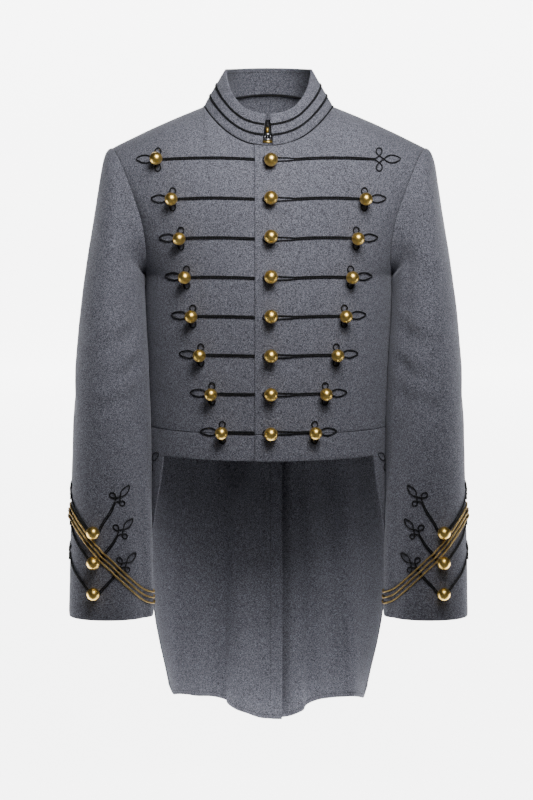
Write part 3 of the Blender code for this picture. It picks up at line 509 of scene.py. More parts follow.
def armhole(turn):
    """The armhole seam on the wearer's left: 0 at the shoulder tip, 90 at the front, 180 at the underarm."""
    turn %= 360.0
    notch = FRONT_NOTCH if turn <= 180 else BACK_NOTCH
    down = turn if turn <= 180 else 360 - turn
    if down <= 90:
        t = down / 90
        weights = (t**1.4, 1 - (1 - t) ** 2, t * t)
        ends = (SHOULDER_TIP, notch)
    else:
        t = down / 90 - 1
        weights = (ease(t), t * t, 1 - (1 - t) ** 2)
        ends = (notch, UNDERARM)
    point = Vector(mix(ends[0][i], ends[1][i], weights[i]) for i in range(3))
    if down > 90:
        point.x -= ARMHOLE_HOLLOW * t * (1 - t) ** 2
    return point


def armhole_inward(turn):
    """The direction in which both walls at the armhole seam have their thickness."""
    point = armhole(turn)
    return Vector((0, SIDE_Y - point.y, ARMHOLE_MIDDLE_Z - point.z)).normalized()


def panel_top(back, u):
    """The upper edge of a body panel: half the neckline, then the shoulder seam."""
    if u <= NECK_SHARE:
        turn = u / NECK_SHARE * math.pi / 2
        return neckline(math.pi - turn if back else turn)
    s = (u - NECK_SHARE) / (1 - NECK_SHARE)
    point = neckline(math.pi / 2).lerp(SHOULDER_TIP, s)
    point.z += SHOULDER_CROWN * math.sin(math.pi * s)
    return point


def panel_row(middle_y, middle_z, edge, turn, u):
    """One cross section of a body panel, from its middle line at u = 0 to its edge at u = 1."""
    a = u * turn
    across = math.sin(a) / math.sin(turn)
    depth = (1 - abs(math.cos(a)) ** RING_POWER) / (1 - abs(math.cos(turn)) ** RING_POWER)
    return Vector((edge.x * across, mix(middle_y, edge.y, depth), mix(middle_z, edge.z, u * u)))


def panel_point(back, u, v):
    """A point of the wearer's left half of the front or the back: v runs from the neck to the waist seam."""
    depth_column = 3 if back else 2
    if v < UNDERARM_AT:
        lower = max(v - CHEST_AT, 0.0) / (UNDERARM_AT - CHEST_AT)
        edge_turn = 90 + 90 * lower
        edge = armhole(360 - edge_turn if back else edge_turn)
        middle_z = mix(CHEST_Z, UNDERARM.z, lower)
        turn = mix(NOTCH_TURN, math.pi / 2, lower)
    else:
        middle_z = mix(UNDERARM.z, WAIST_Z, (v - UNDERARM_AT) / (1 - UNDERARM_AT))
        edge = Vector((through(TORSO, 1, middle_z), SIDE_Y, middle_z))
        turn = math.pi / 2
    row = panel_row(through(TORSO, depth_column, middle_z), middle_z, edge, turn, u)
    if v >= CHEST_AT:
        return row
    t = v / CHEST_AT
    top = panel_top(back, abs(u))
    top.x = math.copysign(top.x, u)
    outward = ease(abs(u) / ROUNDED_SHARE)
    fall = t ** mix(1.35 if back else 1.10, 2.0, outward)
    swell = 1 - (1 - t) ** mix(1.5, 2.0, outward)
    return Vector((mix(top.x, row.x, t**1.4), mix(top.y, row.y, swell), mix(top.z, row.z, fall)))


def ring_point(turn, z):
    """A point of the plain torso ring at a level: turn 0 at centre front, pi at centre back."""
    forward = math.cos(turn)
    reach = SIDE_Y - through(TORSO, 2, z) if forward >= 0 else through(TORSO, 3, z) - SIDE_Y
    y = SIDE_Y - reach * signed_power(forward, RING_POWER)
    return Vector((through(TORSO, 1, z) * math.sin(turn), y, z))


def fold_depth(x, z):
    """How far the folds bring the back of the tails towards the front at a place."""
    fullness = ease((STRAP_HEM_Z - z) / 0.30) * mix(0.45, 1.0, ease((STRAP_HEM_Z - z) / 0.44))
    return fullness * sum(depth * ease((x - begin) / (full - begin)) for begin, full, depth in TAIL_FOLDS)


def sleeve_point(turn, s):
    """A point of the left sleeve: turn 0 outside, 90 in front, 180 inside; s from armhole to cuff."""
    rings = len(SLEEVE) - 1
    at = s * rings
    stations = tuple((i,) + ring for i, ring in enumerate(SLEEVE))
    outer_x, outer_z, inner_x, inner_z, middle_y, depth = (through(stations, c, at) for c in range(1, 7))
    a = math.radians(turn)
    across = signed_power(math.cos(a), SLEEVE_POWER)
    forward = signed_power(math.sin(a), SLEEVE_POWER)

    def oval(ox, oz, ix, iz, y, half):
        return Vector((mix(ix, ox, (1 + across) / 2), y - half * forward, mix(iz, oz, (1 + across) / 2)))

    point = oval(outer_x, outer_z, inner_x, inner_z, middle_y, depth)
    if at < CAP_RINGS:
        point += (armhole(turn) - oval(*SLEEVE[0])) * (1 - at / CAP_RINGS) ** 2
    point.x += SEAM
    return point


def collar_point(turn, t):
    """A point of the collar: turn 0 at centre front, pi at centre back; t from neck seam to top edge."""
    base = neckline(turn)
    base.z += SEAM * 2
    forward = math.cos(turn)
    sideways = math.sin(turn) ** 2
    if forward >= 0:
        y = COLLAR_TOP_FRONT_Y * forward
        z = mix(COLLAR_TOP_FRONT_Z, COLLAR_TOP_SIDE_Z, sideways)
    else:
        y = -COLLAR_TOP_BACK_Y * forward
        z = mix(COLLAR_TOP_BACK_Z, COLLAR_TOP_SIDE_Z, sideways)
    return base.lerp(Vector((COLLAR_TOP_HALF * math.sin(turn), y, z)), t)


def collar_end_turn(side, t):
    """The turn at which the collar ends beside the hook, for the side's sign."""
    half = mix(NECK_HALF, COLLAR_TOP_HALF, t)
    gap = mix(COLLAR_GAP_BASE, COLLAR_GAP_TOP, t)
    return math.asin((gap + side * COLLAR_MIDDLE_X) / half)


def mirrored(point, side):
    return Vector((side * point.x, point.y, point.z))


def lap_rise(x):
    """How far the upper front stands out over the under front."""
    return LAP * (1 - ease((x - UNDERLAP_X - 0.004) / (LAP_FADE_X - UNDERLAP_X)))


def normal_of(surface, a, b):
    """The unit normal of a surface of two numbers, each from 0 to 1."""
    a0, a1 = max(a - STEP, 0.0), min(a + STEP, 1.0)
    b0, b1 = max(b - STEP, 0.0), min(b + STEP, 1.0)
    return (surface(a1, b) - surface(a0, b)).cross(surface(a, b1) - surface(a, b0)).normalized()


def raised(surface, facing, rise):
    """A surface moved out along its normals by rise(point)."""

    def moved(a, b):
        point = surface(a, b)
        return point + normal_of(surface, a, b) * facing * rise(point)

    return moved


@functools.cache
def edge_u(x, v):
    """The u at which a front panel's row passes a small x near the middle."""
    u = x / 0.2
    for _ in range(8):
        u += (x - panel_point(False, u, v).x) / 0.22
    return u


def collar_end_u(side):
    return collar_end_turn(side, 0.0) / (math.pi / 2) * NECK_SHARE


def front_u(side, a, b):
    """The u of a place on a front. Its first two strips lie between the collar's ends."""
    start_x = FRONT_EDGE_X if side > 0 else -UNDERLAP_X
    end_u = collar_end_u(side)
    far_u = -collar_end_u(-side)
    if a < EDGE_SHARE / 2:
        return mix(edge_u(start_x, b), far_u, a / (EDGE_SHARE / 2))
    if a < EDGE_SHARE:
        return mix(far_u, end_u, a / (EDGE_SHARE / 2) - 1)
    return mix(end_u, 1.0, (a - EDGE_SHARE) / (1 - EDGE_SHARE))


def front_surface(side):
    """The outer face of one front as a surface of two numbers. Side 1 is the left, which laps over."""

    def surface(a, b):
        point = mirrored(panel_point(False, front_u(side, a, b), b), side)
        point.y -= SEAM / 2
        return point

    def lapped(a, b):
        point = surface(a, b)
        point.y -= lap_rise(point.x) / abs(normal_of(surface, a, b).y)
        return point

    return lapped if side > 0 else surface


def panel_inward(surface, back, side_of, u_of):
    """The direction of a body panel's thickness at its seams, where it matches the neighbouring piece."""

    def direction(a, b):
        side, u = side_of(a), u_of(a, b)
        if u >= 1 and b < UNDERARM_AT:
            down = 90 * b / CHEST_AT if b < CHEST_AT else 90 + 90 * (b - CHEST_AT) / (UNDERARM_AT - CHEST_AT)
            return mirrored(armhole_inward(360 - down if back else down), side)
        if b <= 0 and u > NECK_SHARE:
            along = SHOULDER_TIP - neckline(math.pi / 2)
            return mirrored(Vector((along.z, 0, -along.x)).normalized(), side)
        if b >= 1:
            return level_inward(surface, a, b, 1 if back else -side)
        return None

    return direction


def level_inward(surface, a, b, facing):
    inward = -facing * normal_of(surface, a, b)
    return Vector((inward.x, inward.y, 0)).normalized()


def back_surface(a, b):
    u = 2 * a - 1
    point = panel_point(True, abs(u), b)
    point.x = math.copysign(point.x, u)
    point.y += SEAM / 2
    return point


def skirt_turn(side, a, z):
    """The turn of a strap and tail's column a at a level.

    a below STRAP_FIRST lies on the front lap, and a below STRAP_SHARE on the rest of the strap in front of
    the tail. The last part, beyond 1 - VENT_SHARE, lies where the two tails lap over each other.
    """
    half = through(TORSO, 1, z)
    laps = (-UNDERLAP_X, -FRONT_EDGE_X) if side < 0 else (FRONT_EDGE_X, UNDERLAP_X)
    vent = math.asin(VENT_LAP_X / half)
    starts = [math.asin(x / half) for x in laps]
    edge = math.radians(through(TAIL_EDGE, 1, z))
    lapped, end = (math.pi, math.pi + vent) if side < 0 else (math.pi - vent, math.pi)
    stations = (0.0, STRAP_FIRST, STRAP_SHARE, 1 - VENT_SHARE, 1.0)
    turns = (*starts, edge, lapped, end)
    k = max(i for i in range(4) if a >= stations[i])
    return mix(turns[k], turns[k + 1], (a - stations[k]) / (stations[k + 1] - stations[k]))


def skirt_surface(side):
    """The outer face of one strap and tail, in one piece. b below STRAP_ROWS lies on the strap."""

    def surface(a, b):
        if b <= STRAP_ROWS:
            z = mix(WAIST_Z, STRAP_HEM_Z, b / STRAP_ROWS)
        else:
            hem_x = side * ring_point(skirt_turn(side, a, HEM_MIDDLE_Z), HEM_MIDDLE_Z).x
            hem_z = through(TAIL_HEM, 1, abs(hem_x - TAIL_MIDDLE_X))
            z = mix(STRAP_HEM_Z, hem_z, (b - STRAP_ROWS) / (1 - STRAP_ROWS))
        turn = skirt_turn(side, a, z)
        point = mirrored(ring_point(turn, z), side)
        if turn > math.pi / 2:
            point.y -= fold_depth(point.x, z) * ease((turn - math.pi / 2) / 0.5)
        point.z -= SEAM
        return point

    def rise(point):
        if point.y < 0:
            return lap_rise(point.x)
        return LAP * (1 - ease((point.x - VENT_LAP_X - 0.004) / 0.03))

    return raised(surface, -1, rise) if side > 0 else surface


def collar_turn(a, t, back_off=0.0):
    """The turn at a share of the collar's length: its columns lie at even turns except at the two ends."""
    first = 2 * math.pi / (4 * NECK_COLUMNS)
    share = first / (2 * math.pi)
    if a < share:
        return mix(collar_end_turn(1, t) + back_off, first, a / share)
    if a > 1 - share:
        return mix(2 * math.pi - collar_end_turn(-1, t) - back_off, 2 * math.pi - first, (1 - a) / share)
    return 2 * math.pi * a


class CoatCloth(bpy.types.PropertyGroup):
    light_fibre: FloatVectorProperty(
        name="Light fibre", description="Colour of the wool's pale fibres", subtype="COLOR", size=3,
        min=0, max=1, default=(0.250, 0.254, 0.305),
    )
    dark_fibre: FloatVectorProperty(
        name="Dark fibre", description="Colour of the wool's dark fibres", subtype="COLOR", size=3,
        min=0, max=1, default=(0.042, 0.042, 0.052),
    )
    heather_size: FloatProperty(
        name="Heather size", description="Width of a fleck in the wool",
        default=0.0013, min=0.0002, max=0.02, unit="LENGTH",
    )
    nap: FloatProperty(
        name="Nap", description="Height of the wool's raised fibres",
        default=0.0006, min=0.0, max=0.003, unit="LENGTH",
    )
    grain: FloatProperty(
        name="Grid size", description="Spacing of the cloth's mesh",
        default=0.0045, min=0.002, max=0.02, unit="LENGTH",
    )


class CoatTrim(bpy.types.PropertyGroup):
    cord: FloatProperty(
        name="Cord", description="Thickness of one black cord",
        default=0.0024, min=0.001, max=0.005, unit="LENGTH",
    )
    cord_lay: FloatProperty(
        name="Cord lay", description="Length of one twist of a cord",
        default=0.0052, min=0.002, max=0.03, unit="LENGTH",
    )
    collar_cord: FloatProperty(
        name="Collar cord", description="Thickness of a cord of the collar's bands",
        default=0.0018, min=0.001, max=0.005, unit="LENGTH",
    )
    gold_cord: FloatProperty(
        name="Gold cord", description="Thickness of a gold cord",
        default=0.0031, min=0.001, max=0.006, unit="LENGTH",
    )
    piping: FloatProperty(
        name="Piping", description="Thickness of the neck piping",
        default=0.0018, min=0.001, max=0.006, unit="LENGTH",
    )
    stitch: FloatProperty(
        name="Stitch", description="Length of one stitch",
        default=0.0030, min=0.001, max=0.01, unit="LENGTH",
    )
    braid_colour: FloatVectorProperty(
        name="Braid", description="Colour of the cords and braid", subtype="COLOR", size=3,
        min=0, max=1, default=(0.0030, 0.0030, 0.0038),
    )
    gold_colour: FloatVectorProperty(
        name="Gold thread", description="Colour of the gold cords", subtype="COLOR", size=3,
        min=0, max=1, default=(0.66, 0.46, 0.18),
    )
    brass_colour: FloatVectorProperty(
        name="Brass", description="Colour of the buttons", subtype="COLOR", size=3,
        min=0, max=1, default=(1.0, 0.70, 0.20),
    )
    ball_rings: IntProperty(
        name="Ball rings", description="Rings in each ball button", default=16, min=8, max=48
    )


class CoatStudio(bpy.types.PropertyGroup):
    distance: FloatProperty(
        name="Camera distance", description="From the camera to the coat's middle",
        default=3.5, min=1.0, max=10.0, unit="LENGTH",
    )
    height: FloatProperty(
        name="Camera height", description="Angle of the camera above the coat",
        default=math.radians(7.0), min=-1.5, max=1.5, subtype="ANGLE",
    )
    lens: FloatProperty(
        name="Lens", description="Focal length in millimetres",
        default=105.0, min=20.0, max=300.0, unit="CAMERA",
    )
    key: FloatProperty(
        name="Key light", description="Power of the key light", default=3.9, min=0.0, unit="POWER"
    )
    fill: FloatProperty(
        name="Fill light", description="Power of the fill light", default=10.6, min=0.0, unit="POWER"
    )
    floor: FloatVectorProperty(
        name="Floor", description="Colour of the floor and backdrop", subtype="COLOR", size=3,
        min=0, max=1, default=(0.86, 0.86, 0.87),
    )


def segment_depth(place, start, end, width, depth):
    """The depth of a crease at a place of the plane, deepest in its middle."""
    along = end - start
    t = min(max((place - start).dot(along) / along.length_squared, 0.0), 1.0)
    away = (place - start - along * t).length / width
    return depth * math.exp(-away * away) * (0.35 + 0.65 * math.sin(math.pi * min(max(t, 0.05), 0.95)))


def crease_depth(point, x0, z0, x1, z1, width, depth):
    """The depth of one crease of a table at a point, seen from the front or the back."""
    return segment_depth(Vector((point.x, point.z)), Vector((x0, z0)), Vector((x1, z1)), width, depth)


def unevenness(point):
    """The slight waviness of worn wool cloth."""
    return 0.00060 * noise.noise(point * 17.0) + 0.00022 * noise.noise(point * 52.0)


def side_fullness(point, normal):
    """How far the body swells towards the sleeves beside a place."""
    away = (point.y - SIDE_Y) / SIDE_WIDTH
    return through(SIDE_FULLNESS, 1, point.z) * math.exp(-away * away) * abs(normal.x)


def plain_relief(point, normal):
    """No relief, for a piece without creases."""
    return 0.0


def back_relief(point, normal):
    """Soft hollows at the waist and a pressed seam down the middle."""
    depth = side_fullness(point, normal)
    depth -= BACK_SEAM_DEPTH * math.exp(-((point.x / BACK_SEAM_WIDTH) ** 2))
    for crease in BACK_CREASES:
        depth -= crease_depth(point, *crease)
    return depth


def front_relief(point, normal):
    """The fronts' creases and the dimple that each centre button pulls."""
    depth = side_fullness(point, normal)
    if normal.y < 0:
        for side, *crease in FRONT_CREASES:
            if side * point.x > -0.03:
                depth -= crease_depth(point, *crease)
        for row in range(ROWS):
            away = Vector((point.x - BUTTON_LINE_X, point.z - row_z(row))).length / DIMPLE_WIDTH
            depth -= DIMPLE_DEPTH * math.exp(-away * away)
    return depth


def tail_relief(side):
    def relief(point, normal):
        depth = side_fullness(point, normal)
        if point.y > SIDE_Y:
            for x, top, width, deep in TAIL_CREASES:
                away = (point.x - x - 0.02 * noise.noise(Vector((x * 90, 0, point.z * 2.2)))) / width
                depth -= deep * math.exp(-away * away) * ease((top - point.z) / 0.10)
            step = ease((WAIST_Z - 0.02 - point.z) / 0.05) * VENT_STEP
            if side < 0:
                depth -= step * ease((point.x + 0.002) / (VENT_LAP_X + 0.002))
                depth += VENT_RIDGE_HEIGHT * math.exp(-(((point.x - VENT_STITCH_X) / VENT_RIDGE_WIDTH) ** 2))
            else:
                depth += step * math.exp(-(((point.x - VENT_LAP_X) / 0.008) ** 2))
        return depth

    return relief


def body_reach(y, z):
    """How far out the body's plain side lies at a place in depth and a level."""
    depth = SIDE_Y - through(TORSO, 2, z) if y < SIDE_Y else through(TORSO, 3, z) - SIDE_Y
    forward = min(abs(SIDE_Y - y) / depth, 1.0) ** (1 / RING_POWER)
    return through(TORSO, 1, z) * math.sqrt(1 - forward**2)


def sleeve_relief(side):
    def relief(point, normal):
        depth = 0.0
        if point.z > SLEEVE_CREASE_TOP:
            return depth
        middle = through(SLEEVE_MIDDLE, 1, point.z), through(SLEEVE_MIDDLE, 2, point.z)
        turn = math.degrees(math.atan2(-(point.y - middle[1]), side * point.x - middle[0])) % 360.0
        for turn0, z0, turn1, z1, width, deep in SLEEVE_CREASES:
            around = [math.radians((t - turn + 180) % 360 - 180) * CREASE_RADIUS for t in (turn0, turn1)]
            start, end = Vector((around[0], z0)), Vector((around[1], z1))
            depth -= segment_depth(Vector((0.0, point.z)), start, end, width, deep)
            above = Vector((0.0, point.z - width * RIDGE_RISE))
            depth += segment_depth(above, start, end, width, deep * RIDGE_SHARE)
        facing = ease((-side * normal.x - 0.80) / 0.18) * ease((-0.212 - point.z) / 0.03)
        if facing > 0:
            out = Vector((side, 0.0, 0.0))
            room = side * point.x - body_reach(point.y, point.z) - side_fullness(point, out) - SLEEVE_ROOM
            depth = mix(depth, min(room, SLEEVE_REACH), facing)
        return depth

    return relief


def stations(length, step, first=0.0, last=1.0, ends=(True, True)):
    """Numbers from first to last, about a step apart over a length, with more beside each rolled end."""
    near = [d / length * (last - first) for d in NEAR_EDGE if d < length / 3]
    inner = near[-1] if near else 0.0
    low, high = first + inner * ends[0], last - inner * ends[1]
    count = max(2, round((high - low) / (last - first) * length / step))
    values = [mix(low, high, k / count) for k in range(count + 1)]
    if ends[0]:
        values = [first] + [first + d for d in near[:-1]] + values
    if ends[1]:
        values = values + [last - d for d in reversed(near[:-1])] + [last]
    return values


class ClothGrid:
    """A cloth piece's grid of outer and inner points, kept for what is laid on it."""

    def __init__(self, surface, facing, columns, rows, thickness, keep, inward, relief):
        cells = [
            (i, j)
            for i in range(len(columns) - 1)
            for j in range(len(rows) - 1)
            if keep is None or keep(columns[i], rows[j])
        ]
        self.cells = cells
        self.columns, self.rows = columns, rows
        touching = {}
        for i, j in cells:
            for corner in ((i, j), (i + 1, j), (i + 1, j + 1), (i, j + 1)):
                touching[corner] = touching.get(corner, 0) + 1
        plain = {(i, j): surface(columns[i], rows[j]) for i, j in touching}
        normals = self.normals(plain, facing)
        border = {corner for corner, count in touching.items() if count < 4}
        relieved = {}
        for corner, point in plain.items():
            calm = ease(self.border_distance(plain, border, *corner)[0] / CALM_REACH)
            height = relief(point, normals[corner]) + unevenness(point) * calm
            relieved[corner] = point + normals[corner] * height
        normals = self.normals(relieved, facing)
        self.fair = relieved
        self.outer, self.inner = {}, {}
        radius = thickness * ROLL_SHARE
        for (i, j), point in relieved.items():
            away, (k, m) = self.border_distance(relieved, border, i, j)
            direction = -normals[i, j]
            seam = inward(columns[k], rows[m]) if inward and away < SEAM_REACH else None
            if seam:
                direction = seam.lerp(direction, away / SEAM_REACH).normalized()
            roll = radius - math.sqrt(max(radius**2 - max(radius - away, 0.0) ** 2, 0.0))
            press = PRESS_DEPTH * math.exp(-((away / PRESS_WIDTH) ** 2))
            self.outer[i, j] = point + direction * (roll + press)
            self.inner[i, j] = point + direction * (thickness - roll + press * 0.3)

    @staticmethod
    def normals(points, facing):
        found = {}
        for (i, j), point in points.items():
            across = points.get((i + 1, j), point) - points.get((i - 1, j), point)
            down = points.get((i, j + 1), point) - points.get((i, j - 1), point)
            found[i, j] = across.cross(down).normalized() * facing
        return found

    @staticmethod
    def border_distance(points, border, i, j):
        """How far a corner is from the piece's edge, and the corner of the edge that is nearest."""
        if (i, j) in border:
            return 0.0, (i, j)
        nearest = 1.0, (i, j)
        for k in range(1, BORDER_REACH + 1):
            for corner in ((i - k, j), (i + k, j), (i, j - k), (i, j + k)):
                if corner in border:
                    nearest = min(nearest, ((points[corner] - points[i, j]).length, corner))
        return nearest

    def down_from(self, points, i, j, distance):
        """A point of a column, a distance back from its end at row j."""
        before = points[i, j]
        while (i, j - 1) in points:
            j -= 1
            step = (points[i, j] - before).length
            if step >= distance:
                return before.lerp(points[i, j], distance / step)
            distance -= step
            before = points[i, j]
        return before

    def tree(self):
        """The outer face without its rolled edges, to lay cords and buttons on."""
        index = {corner: k for k, corner in enumerate(self.fair)}
        faces = [[index[i, j], index[i + 1, j], index[i + 1, j + 1], index[i, j + 1]] for i, j in self.cells]
        return list(self.fair.values()), faces

    def seam(self, corners, depth):
        """A line along an edge of the piece, a share of the way from its outer face to its inner one."""
        return [self.outer[c].lerp(self.inner[c], depth) for c in corners if c in self.outer]

    def area(self):
        total = 0.0
        for i, j in self.cells:
            a, b, c, d = (self.outer[k] for k in ((i, j), (i + 1, j), (i + 1, j + 1), (i, j + 1)))
            total += ((b - a).cross(c - a).length + (c - a).cross(d - a).length) / 2
        return total


GRIDS = {}


def cloth_piece(node, surface, facing, columns, rows, relief, inward, keep=None, thickness=CLOTH):
    grid = ClothGrid(surface, facing, columns, rows, thickness, keep, inward, relief)
    GRIDS[node] = grid
    work = bmesh.new()
    outer = {c: work.verts.new(p) for c, p in grid.outer.items()}
    inner = {c: work.verts.new(p) for c, p in grid.inner.items()}
    edges = {}
    for i, j in grid.cells:
        ring = [(i, j), (i + 1, j), (i + 1, j + 1), (i, j + 1)]
        work.faces.new([outer[c] for c in ring])
        work.faces.new([inner[c] for c in reversed(ring)])
        for start, end in zip(ring, ring[1:] + ring[:1]):
            edges[start, end] = True
    for start, end in edges:
        if (end, start) not in edges:
            work.faces.new((outer[end], outer[start], inner[start], inner[end]))
    if facing < 0:
        bmesh.ops.reverse_faces(work, faces=work.faces)
    piece = piece_from(work, f"{node}_cloth", wool())
    settle(piece, "grey_wool", node)
    declare_cloth(grid)


def declare_cloth(grid):
    """Estimates the piece's flat size from some rows and columns of its grid, and its area, but does nothing
    with them.
    """
    i_all, j_all = range(len(grid.columns)), range(len(grid.rows))

    def run(corners):
        points = [grid.outer[c] for c in corners if c in grid.outer]
        return sum((b - a).length for a, b in zip(points, points[1:]))

    width = max(run([(i, j) for i in i_all]) for j in j_all[:: len(grid.rows) // 8])
    length = max(run([(i, j) for j in j_all]) for i in i_all[:: len(grid.columns) // 8])
    area = grid.area()


def piece_from(work, name, material):
    mesh = bpy.data.meshes.new(name)
    work.to_mesh(mesh)
    work.free()
    mesh.materials.append(material)
    mesh.shade_smooth()
    piece = bpy.data.objects.new(name, mesh)
    bpy.context.scene.collection.objects.link(piece)
    return piece


def settle(piece, slot, *nodes):
    """Fixes a finished piece to the coat, in place of its solids."""
    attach(piece, BODY)
    if nodes:
        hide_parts(*nodes)


def tree_of(*nodes):
    points, faces = [], []
    for node in nodes:
        more, rings = GRIDS[node].tree()
        faces += [[k + len(points) for k in ring] for ring in rings]
        points += more
    return BVHTree.FromPolygons(points, faces)


def front_spot(tree, x, z):
    """A point of the front view on the cloth, with the cloth's normal there."""
    hits = {}
    for dx, dz in ((-1, 0), (1, 0), (0, -1), (0, 1)):
        hit = tree.ray_cast(Vector((x + dx * SPOT_REACH, -1.0, z + dz * SPOT_REACH)), Vector((0, 1, 0)))[0]
        if hit is None:
            hit = tree.find_nearest(Vector((x, -0.12, z)))[0]
        hits[dx, dz] = hit
    front = sorted(hit.y for hit in hits.values())[1]
    for hit in hits.values():
        if hit.y > front + SPOT_DROP:
            hit.y = front
    across, up = hits[1, 0] - hits[-1, 0], hits[0, 1] - hits[0, -1]
    normal = across.cross(up).normalized()
    y = sorted(hit.y for hit in hits.values())
    return Vector((x, (y[1] + y[2]) / 2, z)), normal


def sleeve_spot(tree, side, turn, z):
    """A place on a sleeve at a turn in degrees and a level, with the sleeve's normal there."""
    low, high = 0.4, 1.0
    for _ in range(14):
        middle = (low + high) / 2
        if sleeve_point(turn, middle).z > z:
            low = middle
        else:
            high = middle
    point = sleeve_point(turn, low)
    across = sleeve_point(turn + 1.0, low) - sleeve_point(turn - 1.0, low)
    down = sleeve_point(turn, min(low + STEP, 1.0)) - sleeve_point(turn, low - STEP)
    normal = mirrored(across.cross(down).normalized(), side)
    point = mirrored(point, side)
    hit = tree.ray_cast(point + normal * 0.02, -normal)[0]
    return (hit if hit else point), normal


def smooth_path(points, step, closed=False):
    """Points about a step apart on a smooth curve through the given ones."""
    count = len(points)
    spans = count if closed else count - 1
    path = []
    for k in range(spans):
        if closed:
            a, b, c, d = (points[(k + i) % count] for i in (-1, 0, 1, 2))
        else:
            a, b, c, d = (points[min(max(k + i, 0), count - 1)] for i in (-1, 0, 1, 2))
        parts = max(1, round((c - b).length / step))
        for n in range(parts):
            t = n / parts
            square, cube = 2 * a - 5 * b + 4 * c - d, 3 * b - a - 3 * c + d
            path.append(0.5 * (2 * b + (c - a) * t + square * t**2 + cube * t**3))
    if not closed:
        path.append(points[-1])
    return path


def relaxed(points, closed, rounds=2):
    """The path with small steps between neighbours evened out."""
    for _ in range(rounds):
        count = len(points)
        points = [
            point
            if not closed and k in (0, count - 1)
            else (points[k - 1] + point * 2 + points[(k + 1) % count]) / 4
            for k, point in enumerate(points)
        ]
    return points


def paths_object(name, paths):
    """An object of bare edges that follow each (points, closed) path."""
    points, edges = [], []
    for path, closed in paths:
        first = len(points)
        points += path
        edges += [(first + k, first + k + 1) for k in range(len(path) - 1)]
        if closed:
            edges.append((first + len(path) - 1, first))
    mesh = bpy.data.meshes.new(name)
    mesh.from_pydata(points, edges, [])
    holder = bpy.data.objects.new(name, mesh)
    bpy.context.scene.collection.objects.link(holder)
    return holder


class NodeMaker:
    """Builds a node tree step by step."""

    def add(self, kind, *links, **settings):
        """Adds a node. links are (socket, value or output) pairs; an output is linked, a value is set."""
        node = self.tree.nodes.new(kind)
        for key, value in settings.items():
            setattr(node, key, value)
        for socket, value in links:
            if isinstance(value, bpy.types.NodeSocket):
                self.tree.links.new(value, node.inputs[socket])
            else:
                node.inputs[socket].default_value = value
        return node


class NodeTree(NodeMaker):
    """A geometry node tree with named inputs, built step by step."""

    def __init__(self, name, inputs):
        self.tree = bpy.data.node_groups.new(name, "GeometryNodeTree")
        face = self.tree.interface
        face.new_socket("Geometry", in_out="INPUT", socket_type="NodeSocketGeometry")
        for label, kind in inputs:
            face.new_socket(label, in_out="INPUT", socket_type=f"NodeSocket{kind}")
        face.new_socket("Geometry", in_out="OUTPUT", socket_type="NodeSocketGeometry")
        self.source = self.tree.nodes.new("NodeGroupInput")
        self.result = self.tree.nodes.new("NodeGroupOutput")

    def value(self, label):
        return self.source.outputs[label]

    def math(self, operation, a, b):
        return self.add("ShaderNodeMath", (0, a), (1, b), operation=operation).outputs[0]

    def scaled(self, vector, factor):
        node = self.add("ShaderNodeVectorMath", (0, vector), ("Scale", factor), operation="SCALE")
        return node.outputs[0]

    def finish(self, geometry):
        real = self.add("GeometryNodeRealizeInstances", ("Geometry", geometry))
        smooth = self.add("GeometryNodeSetShadeSmooth", ("Geometry", real.outputs[0]))
        dressed = self.add("GeometryNodeSetMaterial", ("Geometry", smooth.outputs[0]),
                           ("Material", self.value("Material")))
        self.tree.links.new(dressed.outputs[0], self.result.inputs[0])
        return self.tree


@functools.cache
def cord_tree():
    """Twisted cord along every path: strands wind round the path at an even pitch."""
    made = NodeTree(
        "Twisted cord",
        (("Thickness", "Float"), ("Lay", "Float"), ("Strands", "Int"), ("Step", "Float"), ("Sides", "Int"),
         ("Material", "Material")),
    )
    curve = made.add("GeometryNodeMeshToCurve", ("Mesh", made.value("Geometry")))
    even = made.add("GeometryNodeResampleCurve", ("Curve", curve.outputs[0]), ("Length", made.value("Step")),
                    mode="LENGTH")
    strands = made.add("GeometryNodeDuplicateElements", ("Geometry", even.outputs[0]),
                       ("Amount", made.value("Strands")), domain="SPLINE")
    along = made.add("GeometryNodeSplineParameter").outputs["Length"]
    share = made.math("DIVIDE", strands.outputs["Duplicate Index"], made.value("Strands"))
    turns = made.math("ADD", made.math("DIVIDE", along, made.value("Lay")), share)
    angle = made.math("MULTIPLY", turns, 2 * math.pi)
    normal = made.add("GeometryNodeInputNormal").outputs[0]
    tangent = made.add("GeometryNodeInputTangent").outputs[0]
    side = made.add("ShaderNodeVectorMath", (0, tangent), (1, normal), operation="CROSS_PRODUCT").outputs[0]
    strand = made.math("MULTIPLY", made.value("Thickness"), STRAND_SHARE)
    wind = made.math("MULTIPLY", made.value("Thickness"), 0.5 - STRAND_SHARE)
    one = made.scaled(normal, made.math("MULTIPLY", wind, made.math("COSINE", angle, 0.0)))
    two = made.scaled(side, made.math("MULTIPLY", wind, made.math("SINE", angle, 0.0)))
    offset = made.add("ShaderNodeVectorMath", (0, one), (1, two), operation="ADD").outputs[0]
    wound = made.add("GeometryNodeSetPosition", ("Geometry", strands.outputs[0]), ("Offset", offset))
    ring = made.add("GeometryNodeCurvePrimitiveCircle", ("Resolution", made.value("Sides")),
                    ("Radius", strand))
    tube = made.add("GeometryNodeCurveToMesh", ("Curve", wound.outputs[0]),
                    ("Profile Curve", ring.outputs[0]), ("Fill Caps", True))
    return made.finish(tube.outputs[0])


